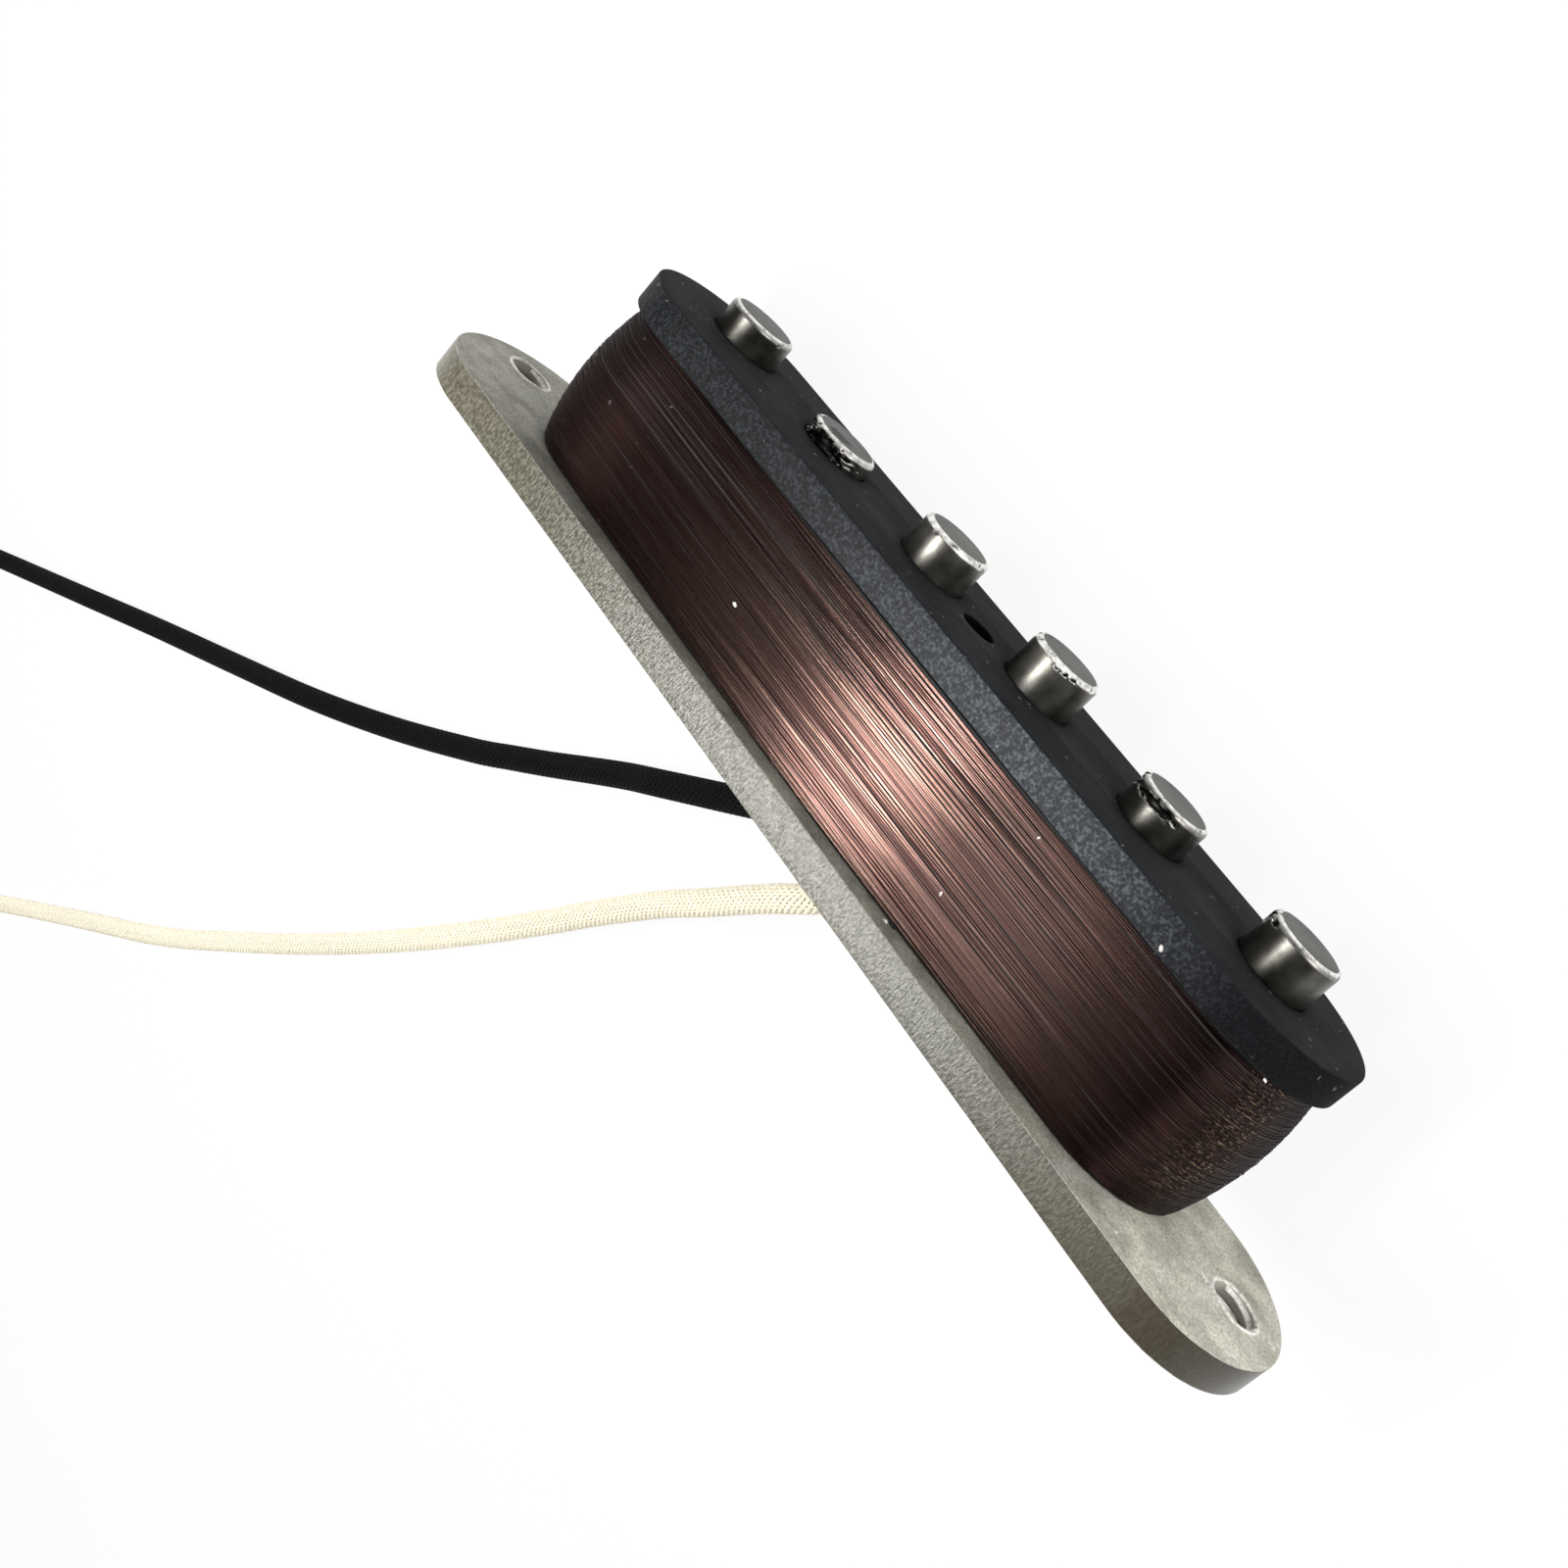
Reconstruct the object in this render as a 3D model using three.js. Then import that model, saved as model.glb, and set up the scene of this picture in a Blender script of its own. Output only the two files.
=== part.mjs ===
// Single-coil guitar pickup: six rod magnets held between two fibre flatworks,
// a coil of fine enamelled wire round the magnets, and two cloth-covered leads.
// It lies on its far side, on the edges of both flatworks, with its leads on the same surface.
// Millimetres. In the pickup's own frame x runs along the row of magnets, y runs across it
// with the eyelets at +y, and z runs from the underside of the bottom flatwork to the strings.

import * as THREE from "three";

// Row of magnets
const poleCount = 6;
const polePitch = 10.5;
const magnetDiameter = 4.95;
const magnetChamfer = 0.35;
const magnetSides = 32;
const poleRises = [2.05, 1.15, 2.5, 2.8, 2.25, 2.75];

// Flatworks and the coil between them
const bottomThickness = 2.35;
const topThickness = 2.35;
const coilHeight = 10.9;
const topHalfWidth = 7.2;
const arcSteps = 14;
const centreHoleDiameter = 2.4;
const centreHoleAcross = -0.6;
const pressGap = 0.05;
const layerGap = 0.05;

// Outline of the bottom flatwork
const earMargin = 3.5;
const earRound = 7;
const earNeck = 4;
const bulgeFlank = 7;
const nearMargin = 1.7;
const farMargin = 4.1;
const flankEase = 3;
const screwHoleDiameter = 3.2;
const screwHoleSpacing = 77;

// Eyelets and what is soldered in them
const eyeletSpacing = 7.5;
const eyeletOffset = -1.25;
const eyeletMargin = 2.1;
const eyeletHoleDiameter = 2.4;
const eyeletWall = 0.25;
const eyeletFlangeDiameter = 2.9;
const eyeletFlangeThickness = 0.25;
const solderHeight = 0.9;
const solderTopSink = 0.3;
const conductorDiameter = 0.8;
const conductorShow = 2.2;
const conductorTopRise = 0.4;
const solderGap = 0.06;

// Coil
const coilInset = 0.75;
const coilBarrel = 0.75;
const coilBow = 0.75;
const windingWire = 0.24;
const windingLoops = 15;
const windingFootClear = 0.55;
const windingTopClear = 0.35;
const windingGap = 0.12;
const boreGap = 0.1;
const straightSteps = 4;
const endSteps = 8;
const tubeSides = 6;
const coreLayers = 8;

// Leads
const leadDiameter = 2.2;
const leadSides = 8;
const stepsApartShare = 2.5;
const jointGap = 0.3;
const coilTurnPitch = 2.75;
const coilMidRadius = 12.1;
const coilStepsPerTurn = 24;
const tailDraw = 4.4;
const farConductorLength = 6;
const tieWidth = 3;
const tieThickness = 0.25;
const tieGap = 0.2;
const tieAngleShare = 0.25;

// Routes of the leads where they aren't coiled, along the middle of the cord, from the
// underside of the bottom flatwork to the start of the coil
const blackRoute = [
  [-5, -11.65, 3.26],
  [-5, -12.55, 3.54],
  [-5.13, -13.73, 3.86],
  [-5.53, -14.88, 4.07],
  [-6.16, -15.94, 4.17],
  [-6.99, -16.84, 4.15],
  [-14.46, -23.4, 3.5],
  [-18.39, -27.07, 2.6],
  [-22.33, -30.95, 1.8],
  [-26.28, -34.8, 1.3],
  [-30.34, -38.5, 1.15],
  [-34.53, -42.17, 1.15],
  [-43.81, -49.48, 1.15],
  [-54.49, -57.05, 1.15],
  [-66.79, -64.88, 1.15],
  [-80.61, -73.55, 1.15],
  [-96.03, -83.5, 1.15],
  [-113.53, -94.78, 1.15],
  [-123, -100.87, 1.35],
  [-128, -104.08, 1.6],
  [-132, -106.65, 1.6],
];
const whiteRoute = [
  [2.5, -11.65, 3.26],
  [2.5, -13.5, 3.85],
  [2.28, -15.3, 4.35],
  [1.5, -16.95, 4.66],
  [0.25, -18.5, 4.75],
  [-1.3, -20.5, 4.55],
  [-3.05, -22.95, 4.15],
  [-5.95, -27.15, 3.5],
  [-8.93, -31.3, 2.7],
  [-12.06, -36.1, 1.9],
  [-15.11, -40.9, 1.4],
  [-18.05, -45.72, 1.15],
  [-24.32, -55.47, 1.15],
  [-31.56, -66.06, 1.15],
  [-40.01, -77.54, 1.15],
  [-49.87, -90.04, 1.15],
  [-61.34, -103.85, 1.15],
  [-75.22, -118.44, 1.15],
  [-91.13, -135.36, 1.15],
  [-99, -143.7, 1.35],
  [-103.5, -148.47, 1.6],
  [-107, -152.18, 1.6],
];
const blackTurns = 1.81;
const whiteTurns = 1.54;

// Sizes that follow from the ones above
const magnetRadius = magnetDiameter / 2;
const firstPole = -polePitch * (poleCount - 1) / 2;
const lastPole = -firstPole;
const nearEdge = topHalfWidth + nearMargin;
const farReach = topHalfWidth + farMargin;
const eyeletAcross = topHalfWidth + eyeletMargin;
const earTip = screwHoleSpacing / 2 + earMargin;
const flankFoot = earTip - earRound - earNeck;
const bulgeHalfLength = flankFoot - bulgeFlank;
const coilFootRadius = topHalfWidth - coilInset;
const coilFloor = bottomThickness + layerGap;
const coilCeiling = bottomThickness + coilHeight - layerGap;
const topUnderside = bottomThickness + coilHeight;
const stackHeight = topUnderside + topThickness;
const lean = Math.atan((farReach - topHalfWidth) / (stackHeight - bottomThickness));
const loopSteps = 2 * (straightSteps + endSteps);
const eyeletBore = eyeletHoleDiameter / 2 - pressGap - eyeletWall;

function finish(color, roughness, metalness) {
  return new THREE.MeshStandardMaterial({ color, roughness, metalness });
}

const fibreGrey = finish(0x96938a, 0.75, 0);
const fibreBlack = finish(0x282c2e, 0.7, 0);
const magnetSteel = finish(0x77766f, 0.35, 1);
const enamelledCopper = finish(0x4a2a26, 0.35, 0.4);
const brass = finish(0xb08d4a, 0.4, 1);
const solderTin = finish(0xa9abad, 0.35, 1);
const blackCloth = finish(0x161616, 0.95, 0);
const creamCloth = finish(0xd8cdb2, 0.95, 0);
const tiePaper = finish(0x5a5248, 0.9, 0);

function named(name, geometry, material) {
  const mesh = new THREE.Mesh(geometry, material);
  mesh.name = name;
  return mesh;
}

// A closed turned shape about z from its profile of [radius, height] corners.
function turned(profile, sides) {
  const corners = profile.map(([radius, height]) => new THREE.Vector2(radius, height));
  const geometry = new THREE.LatheGeometry(corners, sides);
  geometry.rotateX(Math.PI / 2);
  return geometry;
}

// A flat plate of the outline, from z = 0 up to its thickness.
function plate(outline, thickness, curveSegments) {
  return new THREE.ExtrudeGeometry(outline, { depth: thickness, bevelEnabled: false, curveSegments });
}

// Joins rings of equally many points into one closed skin. The last ring joins the first
// one where the skin goes round, and otherwise each end is closed by a fan.
function skin(rings, goesRound) {
  const count = rings[0].length;
  const positions = rings.flat(2);
  const indices = [];
  const spans = goesRound ? rings.length : rings.length - 1;
  for (let ring = 0; ring < spans; ring += 1) {
    const here = ring * count;
    const there = ((ring + 1) % rings.length) * count;
    for (let side = 0; side < count; side += 1) {
      const next = (side + 1) % count;
      indices.push(here + side, here + next, there + next);
      indices.push(here + side, there + next, there + side);
    }
  }
  if (!goesRound) {
    const last = (rings.length - 1) * count;
    for (let side = 1; side < count - 1; side += 1) {
      indices.push(0, side + 1, side);
      indices.push(last, last + side, last + side + 1);
    }
  }
  const geometry = new THREE.BufferGeometry();
  geometry.setAttribute("position", new THREE.Float32BufferAttribute(positions, 3));
  geometry.setIndex(indices);
  return geometry;
}

// A tube of given radius through the points, for loops that lie about level.
function levelTube(points, radius, sides) {
  const rings = points.map((point, index) => {
    const before = points[Math.max(index - 1, 0)];
    const after = points[Math.min(index + 1, points.length - 1)];
    const run = new THREE.Vector3(after[0] - before[0], after[1] - before[1], after[2] - before[2]);
    run.normalize();
    const across = new THREE.Vector3(run.y, -run.x, 0).normalize();
    const rise = new THREE.Vector3().crossVectors(across, run);
    const ring = [];
    for (let side = 0; side < sides; side += 1) {
      const turn = 2 * Math.PI * (side + 1 / 2) / sides;
      const corner = new THREE.Vector3(...point);
      corner.addScaledVector(across, radius * Math.cos(turn));
      corner.addScaledVector(rise, -radius * Math.sin(turn));
      ring.push(corner.toArray());
    }
    return ring;
  });
  return skin(rings, false);
}

// The least gap between loops of one tube, from each point to the points half a loop away
// and further.
function leastGap(points, stepsPerLoop, diameter) {
  let least = Infinity;
  for (let first = 0; first < points.length; first += 1) {
    for (let second = first + stepsPerLoop / 2; second < points.length; second += 1) {
      const from = new THREE.Vector3(...points[first]);
      least = Math.min(least, from.distanceTo(new THREE.Vector3(...points[second])));
    }
  }
  return least - diameter;
}

function pathLength(points) {
  let length = 0;
  for (let index = 1; index < points.length; index += 1) {
    length += new THREE.Vector3(...points[index]).distanceTo(new THREE.Vector3(...points[index - 1]));
  }
  return length;
}

function roundHole(x, y, diameter) {
  const hole = new THREE.Path();
  hole.absarc(x, y, diameter / 2, 0, 2 * Math.PI, false);
  return hole;
}

function eyeletPlace(side) {
  return eyeletOffset + side * eyeletSpacing / 2;
}

function poleHoles() {
  const holes = [];
  for (let pole = 0; pole < poleCount; pole += 1) {
    holes.push(roundHole(firstPole + pole * polePitch, 0, magnetDiameter + 2 * pressGap));
  }
  return holes;
}

// Bottom flatwork: straight near edge, an ear with a screw hole at each end, and a bulge
// on the far side that carries the eyelets.
function bottomFlatwork() {
  const earCentre = earTip - earRound;
  const earMiddle = (topHalfWidth - nearEdge) / 2;
  const earHalfWidth = (topHalfWidth + nearEdge) / 2;
  const outline = new THREE.Shape();
  outline.moveTo(-earCentre, -nearEdge);
  outline.lineTo(earCentre, -nearEdge);
  outline.absellipse(earCentre, earMiddle, earRound, earHalfWidth, -Math.PI / 2, Math.PI / 2, false, 0);
  outline.lineTo(flankFoot, topHalfWidth);
  outline.bezierCurveTo(
    flankFoot - flankEase, topHalfWidth,
    bulgeHalfLength + flankEase, farReach,
    bulgeHalfLength, farReach,
  );
  outline.lineTo(-bulgeHalfLength, farReach);
  outline.bezierCurveTo(
    -bulgeHalfLength - flankEase, farReach,
    -flankFoot + flankEase, topHalfWidth,
    -flankFoot, topHalfWidth,
  );
  outline.lineTo(-earCentre, topHalfWidth);
  outline.absellipse(-earCentre, earMiddle, earRound, earHalfWidth, Math.PI / 2, 3 * Math.PI / 2, false, 0);
  outline.holes = poleHoles();
  for (const side of [-1, 1]) {
    outline.holes.push(roundHole(side * screwHoleSpacing / 2, 0, screwHoleDiameter));
    outline.holes.push(roundHole(eyeletPlace(side), eyeletAcross, eyeletHoleDiameter));
  }
  return plate(outline, bottomThickness, arcSteps);
}

// Top flatwork: a strip with round ends, the pole holes and a small hole at the centre.
function topFlatwork() {
  const outline = new THREE.Shape();
  outline.moveTo(firstPole, -topHalfWidth);
  outline.lineTo(lastPole, -topHalfWidth);
  outline.absarc(lastPole, 0, topHalfWidth, -Math.PI / 2, Math.PI / 2, false);
  outline.lineTo(firstPole, topHalfWidth);
  outline.absarc(firstPole, 0, topHalfWidth, Math.PI / 2, 3 * Math.PI / 2, false);
  outline.holes = poleHoles();
  outline.holes.push(roundHole(0, centreHoleAcross, centreHoleDiameter));
  const geometry = plate(outline, topThickness, arcSteps);
  geometry.translate(0, 0, topUnderside);
  return geometry;
}

// Rod magnets, flush with the underside of the bottom flatwork and staggered at the top.
function addMagnets(group) {
  poleRises.forEach((rise, index) => {
    const top = stackHeight + rise;
    const profile = [
      [0, 0],
      [magnetRadius - magnetChamfer, 0],
      [magnetRadius, magnetChamfer],
      [magnetRadius, top - magnetChamfer],
      [magnetRadius - magnetChamfer, top],
      [0, top],
    ];
    const magnet = named(`magnet_${index + 1}`, turned(profile, magnetSides), magnetSteel);
    magnet.position.x = firstPole + index * polePitch;
    group.add(magnet);
  });
}

// How far the outside of the coil stands from the line of the end poles at a height.
function coilRadius(z) {
  const share = (z - coilFloor) / (coilCeiling - coilFloor);
  return coilFootRadius + coilBarrel * 4 * share * (1 - share);
}

// One loop round the row of magnets, from the far side at the first pole towards the last
// pole, round it, back along the near side and round the first pole.
function loopPoint(step, radius, bow) {
  const place = ((step % loopSteps) + loopSteps) % loopSteps;
  const half = straightSteps + endSteps;
  const facing = place < half ? 1 : -1;
  const along = place % half;
  if (along <= straightSteps) {
    const share = 2 * along / straightSteps - 1;
    return [facing * lastPole * share, facing * (radius + bow * (1 - share * share))];
  }
  const turn = Math.PI * (along - straightSteps) / endSteps;
  return [facing * (lastPole + radius * Math.sin(turn)), facing * radius * Math.cos(turn)];
}

function loopRing(radius, bow, z) {
  const ring = [];
  for (let step = loopSteps; step > 0; step -= 1) {
    ring.push([...loopPoint(step, radius, bow), z]);
  }
  return ring;
}

// The body of the coil, open in the middle for the magnets, with a bulged outside.
function coilCore() {
  const rings = [];
  for (let layer = 0; layer <= coreLayers; layer += 1) {
    const z = coilFloor + (coilCeiling - coilFloor) * layer / coreLayers;
    rings.push(loopRing(coilRadius(z) - windingWire - windingGap, coilBow, z));
  }
  rings.push(loopRing(magnetRadius + boreGap, 0, coilCeiling));
  rings.push(loopRing(magnetRadius + boreGap, 0, coilFloor));
  return skin(rings, true);
}

// The outer layer of the coil as one wire, wound upwards from the far side.
function windingPoints() {
  const bottom = coilFloor + windingFootClear;
  const rise = coilCeiling - windingTopClear - bottom;
  const steps = windingLoops * loopSteps;
  const firstStep = straightSteps - 1;
  const points = [];
  for (let step = 0; step <= steps; step += 1) {
    const z = bottom + rise * step / steps;
    points.push([...loopPoint(firstStep + step, coilRadius(z) - windingWire / 2, coilBow), z]);
  }
  const [startX, startY, startZ] = points[0];
  const [endX, endY, endZ] = points[points.length - 1];
  points.unshift([startX - windingWire, startY, startZ]);
  points.push([endX + windingWire, endY, endZ]);
  return points;
}

function tubeThrough(points, radius, sides, steps) {
  const curve = new THREE.CatmullRomCurve3(points.map((point) => new THREE.Vector3(...point)));
  const section = new THREE.Shape();
  section.absarc(0, 0, radius, 0, 2 * Math.PI, false);
  return new THREE.ExtrudeGeometry(section, { steps, extrudePath: curve, curveSegments: sides / 2 });
}

// The two ends of the coil's wire, each led over the bottom flatwork into its eyelet.
function finishWirePoints(windingStart) {
  const [x, y, z] = windingStart;
  const eyeletX = eyeletPlace(1);
  const rimTop = bottomThickness + pressGap + eyeletFlangeThickness + windingWire;
  const from = x - windingGap;
  const span = from - eyeletX;
  return [
    [from, y, z],
    [from - span / 4, y + (eyeletAcross - y) / 8, z],
    [from - span / 2, y + (eyeletAcross - y) / 2, z],
    [eyeletX + eyeletBore, eyeletAcross, rimTop],
    [eyeletX + eyeletBore / 2, eyeletAcross, bottomThickness + windingWire],
  ];
}

function startWirePoints() {
  const eyeletX = eyeletPlace(-1);
  const z = bottomThickness + layerGap + windingWire / 2 + pressGap;
  const rimTop = bottomThickness + pressGap + eyeletFlangeThickness + windingWire;
  const foot = coilFootRadius + coilBow + windingGap;
  const from = eyeletX - eyeletFlangeDiameter;
  return [
    [from, foot, z],
    [from, foot + windingWire, z],
    [from + eyeletBore, (foot + eyeletAcross) / 2, z + windingWire],
    [eyeletX - eyeletBore, eyeletAcross, rimTop],
    [eyeletX - eyeletBore / 2, eyeletAcross, bottomThickness + windingWire],
  ];
}

// Eyelet: a brass tube through the bottom flatwork with a rolled flange on each face.
function eyelet() {
  const outer = eyeletHoleDiameter / 2 - pressGap;
  const flange = eyeletFlangeDiameter / 2;
  const seatTop = bottomThickness + pressGap;
  return turned([
    [eyeletBore, -pressGap - eyeletFlangeThickness],
    [flange, -pressGap - eyeletFlangeThickness],
    [flange, -pressGap],
    [outer, -pressGap],
    [outer, seatTop],
    [flange, seatTop],
    [flange, seatTop + eyeletFlangeThickness],
    [eyeletBore, seatTop + eyeletFlangeThickness],
    [eyeletBore, -pressGap - eyeletFlangeThickness],
  ], 24);
}

// Solder round the conductor: it fills the eyelet and stands as a low dome on the underside.
function solderJoint() {
  const inner = conductorDiameter / 2 + solderGap;
  const bore = eyeletBore - solderGap;
  const rim = eyeletFlangeDiameter / 2 - solderGap;
  const base = -pressGap - eyeletFlangeThickness - solderGap;
  const top = bottomThickness - solderTopSink;
  return turned([
    [inner, base - solderHeight],
    [(inner + rim) / 2, base - solderHeight * 3 / 4],
    [rim, base - solderHeight / 8],
    [rim, base],
    [bore, base],
    [bore, top],
    [inner, top],
    [inner, base - solderHeight],
  ], 24);
}

function conductor(bottom, top) {
  const radius = conductorDiameter / 2;
  return turned([[0, bottom], [radius, bottom], [radius, top], [0, top]], 12);
}

function addTermination(group, side, label) {
  const x = eyeletPlace(side);
  const top = bottomThickness - solderTopSink - conductorTopRise;
  const pieces = [
    named(`${label}_eyelet`, eyelet(), brass),
    named(`${label}_solder`, solderJoint(), solderTin),
    named(`${label}_conductor`, conductor(-conductorShow + jointGap, top), solderTin),
  ];
  pieces.forEach((piece) => {
    piece.position.set(x, eyeletAcross, 0);
    group.add(piece);
  });
}

// The put-away length of a lead: a flat spiral that goes on from the end of the route, with
// the last quarter turn drawn in so that the bare end lies inside the ring.
function leadCoil(route, turns) {
  const last = new THREE.Vector3(...route[route.length - 1]);
  const before = new THREE.Vector3(...route[route.length - 2]);
  const heading = last.clone().sub(before).setZ(0).normalize();
  const start = last.clone().addScaledVector(heading, jointGap);
  const bend = start.clone().addScaledVector(heading, leadDiameter);
  const outerRadius = coilMidRadius + coilTurnPitch * turns / 2;
  const inward = new THREE.Vector3(heading.y, -heading.x, 0);
  const centre = bend.clone().addScaledVector(inward, outerRadius);
  const firstAngle = Math.atan2(bend.y - centre.y, bend.x - centre.x);
  const points = [start.toArray()];
  const steps = Math.round(turns * coilStepsPerTurn);
  for (let step = 0; step <= steps; step += 1) {
    const turned = turns * step / steps;
    const tail = Math.max(turned - turns + 1 / 4, 0) * 4;
    const radius = outerRadius - coilTurnPitch * turned - tailDraw * tail * tail;
    const angle = firstAngle - 2 * Math.PI * turned;
    points.push([centre.x + radius * Math.cos(angle), centre.y + radius * Math.sin(angle), last.z]);
  }
  const end = new THREE.Vector3(...points[points.length - 1]);
  const way = end.clone().sub(new THREE.Vector3(...points[points.length - 2])).normalize();
  end.addScaledVector(way, leadDiameter);
  points.push(end.toArray());
  return { points, centre, outerRadius, firstAngle, end, way };
}

// A band round the turns of a put-away lead, a quarter turn after it goes into the coil.
function leadTie(coil) {
  const innerRadius = coil.outerRadius - coilTurnPitch * (1 + tieAngleShare);
  const outerRadius = coil.outerRadius - coilTurnPitch * tieAngleShare;
  const halfSpan = (outerRadius - innerRadius + leadDiameter) / 2 + tieGap;
  const halfHeight = leadDiameter / 2 + tieGap;
  const band = roundedBox(halfSpan + tieThickness, halfHeight + tieThickness);
  band.holes = [roundedBox(halfSpan, halfHeight)];
  const geometry = plate(band, tieWidth, 5);
  geometry.translate(0, 0, -tieWidth / 2);
  geometry.rotateX(Math.PI / 2);
  geometry.translate((outerRadius + innerRadius) / 2, 0, coil.end.z);
  geometry.rotateZ(coil.firstAngle - 2 * Math.PI * tieAngleShare);
  geometry.translate(coil.centre.x, coil.centre.y, 0);
  return geometry;
}

function roundedBox(halfWidth, halfHeight) {
  const shape = new THREE.Shape();
  const straight = halfWidth - halfHeight;
  shape.moveTo(-straight, -halfHeight);
  shape.lineTo(straight, -halfHeight);
  shape.absarc(straight, 0, halfHeight, -Math.PI / 2, Math.PI / 2, false);
  shape.lineTo(-straight, halfHeight);
  shape.absarc(-straight, 0, halfHeight, Math.PI / 2, 3 * Math.PI / 2, false);
  return shape;
}

function addLead(group, label, route, turns, cloth) {
  const stretchSteps = Math.round(pathLength(route) / (stepsApartShare * leadDiameter));
  const coil = leadCoil(route, turns);
  const coilSolid = levelTube(coil.points, leadDiameter / 2, tubeSides);
  const bare = conductor(0, farConductorLength);
  bare.rotateX(-Math.PI / 2);
  bare.rotateZ(Math.atan2(coil.way.y, coil.way.x) - Math.PI / 2);
  const bareStart = coil.end.clone().addScaledVector(coil.way, jointGap);
  bare.translate(bareStart.x, bareStart.y, bareStart.z);
  group.add(named(`${label}_lead`, tubeThrough(route, leadDiameter / 2, leadSides, stretchSteps), cloth));
  group.add(named(`${label}_lead_coil`, coilSolid, cloth));
  group.add(named(`${label}_lead_tie`, leadTie(coil), tiePaper));
  group.add(named(`${label}_lead_end`, bare, solderTin));
  const gap = leastGap(coil.points, coilStepsPerTurn, leadDiameter);
  const length = pathLength(route) + pathLength(coil.points);
  console.log(`${label} lead: ${length.toFixed(1)} mm, least gap in its coil ${gap.toFixed(2)} mm`);
}

function buildPickup() {
  const group = new THREE.Group();
  const winding = windingPoints();
  group.add(named("bottom_flatwork", bottomFlatwork(), fibreGrey));
  group.add(named("top_flatwork", topFlatwork(), fibreBlack));
  addMagnets(group);
  group.add(named("coil_core", coilCore(), enamelledCopper));
  group.add(named("coil_winding", levelTube(winding, windingWire / 2, tubeSides), enamelledCopper));
  const finishWire = tubeThrough(finishWirePoints(winding[0]), windingWire / 2, tubeSides, 16);
  const startWire = tubeThrough(startWirePoints(), windingWire / 2, tubeSides, 14);
  group.add(named("coil_finish_wire", finishWire, enamelledCopper));
  group.add(named("coil_start_wire", startWire, enamelledCopper));
  addTermination(group, -1, "black");
  addTermination(group, 1, "white");
  const gap = leastGap(winding, loopSteps, windingWire);
  console.log(`coil: ${windingLoops} loops, least gap ${gap.toFixed(2)} mm`);
  return group;
}

// Turns the pickup on its far side and stands it on z = 0, with the middle of its box over
// the origin.
function layDown(group) {
  group.rotation.x = -Math.PI / 2 - lean;
  group.updateMatrixWorld(true);
  const box = new THREE.Box3().setFromObject(group, true);
  const middle = box.getCenter(new THREE.Vector3());
  group.position.set(-middle.x, -middle.y, -box.min.z);
  group.updateMatrixWorld(true);
}

const part = new THREE.Group();
const pickup = buildPickup();
layDown(pickup);
part.add(pickup);
addLead(part, "black", blackRoute, blackTurns, blackCloth);
addLead(part, "white", whiteRoute, whiteTurns, creamCloth);

export default part;
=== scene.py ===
import math

import bmesh
import bpy
from mathutils import Matrix, Vector, noise


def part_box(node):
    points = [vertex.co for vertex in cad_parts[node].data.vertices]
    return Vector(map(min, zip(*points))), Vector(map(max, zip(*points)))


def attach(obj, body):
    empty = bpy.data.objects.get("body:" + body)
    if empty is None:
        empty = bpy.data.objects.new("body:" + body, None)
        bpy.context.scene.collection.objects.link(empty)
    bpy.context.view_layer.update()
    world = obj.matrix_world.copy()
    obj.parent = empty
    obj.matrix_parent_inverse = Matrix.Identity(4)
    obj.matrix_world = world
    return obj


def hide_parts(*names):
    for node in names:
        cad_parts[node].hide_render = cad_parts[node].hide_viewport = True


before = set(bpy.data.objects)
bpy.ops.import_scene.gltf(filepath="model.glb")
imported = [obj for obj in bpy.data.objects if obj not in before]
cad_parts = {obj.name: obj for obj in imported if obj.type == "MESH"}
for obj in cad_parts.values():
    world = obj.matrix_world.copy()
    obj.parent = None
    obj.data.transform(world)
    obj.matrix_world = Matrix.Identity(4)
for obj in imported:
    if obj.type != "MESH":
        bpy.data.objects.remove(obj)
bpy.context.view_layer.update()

# Bottom flatwork: grey vulcanised fibre, punched to a strip with an ear at each end and a
# bulge on the far side for the eyelets. Its magnet holes are a press fit. The pickup was laid
# on its far side, so it leans on the edges of this flatwork and the top one.
bottom_thickness = 0.00235
top_thickness = 0.00235
coil_height = 0.0109
top_half_width = 0.0072
near_edge = 0.0089
far_reach = 0.0113
top_underside = bottom_thickness + coil_height
stack_height = top_underside + top_thickness
pole_count = 6
pole_pitch = 0.0105
first_pole = -pole_pitch * (pole_count - 1) / 2
last_pole = -first_pole
magnet_radius = 0.002475
press_gap = 0.00005
ear_tip = 0.042
ear_round = 0.007
ear_neck = 0.004
bulge_flank = 0.007
flank_ease = 0.003
screw_hole_radius = 0.0016
screw_hole_spacing = 0.077
eyelet_spacing = 0.0075
eyelet_offset = -0.00125
eyelet_across = top_half_width + 0.0021
eyelet_hole_radius = 0.0012
plate_bevel = 0.00009
arc_steps = 40
hole_sides = 64
merge_distance = 0.000001
ear_centre = ear_tip - ear_round
flank_foot = ear_centre - ear_neck
bulge_half_length = flank_foot - bulge_flank

# The pickup's own frame has x along the magnets, y across them with the eyelets at +y, and z
# from the underside of this flatwork to the strings. lie carries it to where the pickup lies.
lean = math.atan((far_reach - top_half_width) / (stack_height - bottom_thickness))
lie_place = Vector((
    0,
    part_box("bottom_flatwork")[0].y + far_reach * math.sin(lean),
    bottom_thickness * math.sin(lean) + far_reach * math.cos(lean),
))
lie_turn = -math.pi / 2 - lean
lie = Matrix.Translation(lie_place) @ Matrix.Rotation(lie_turn, 4, "X")
up_axis = (lie.to_3x3() @ Vector((0, 0, 1))).normalized()


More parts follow.
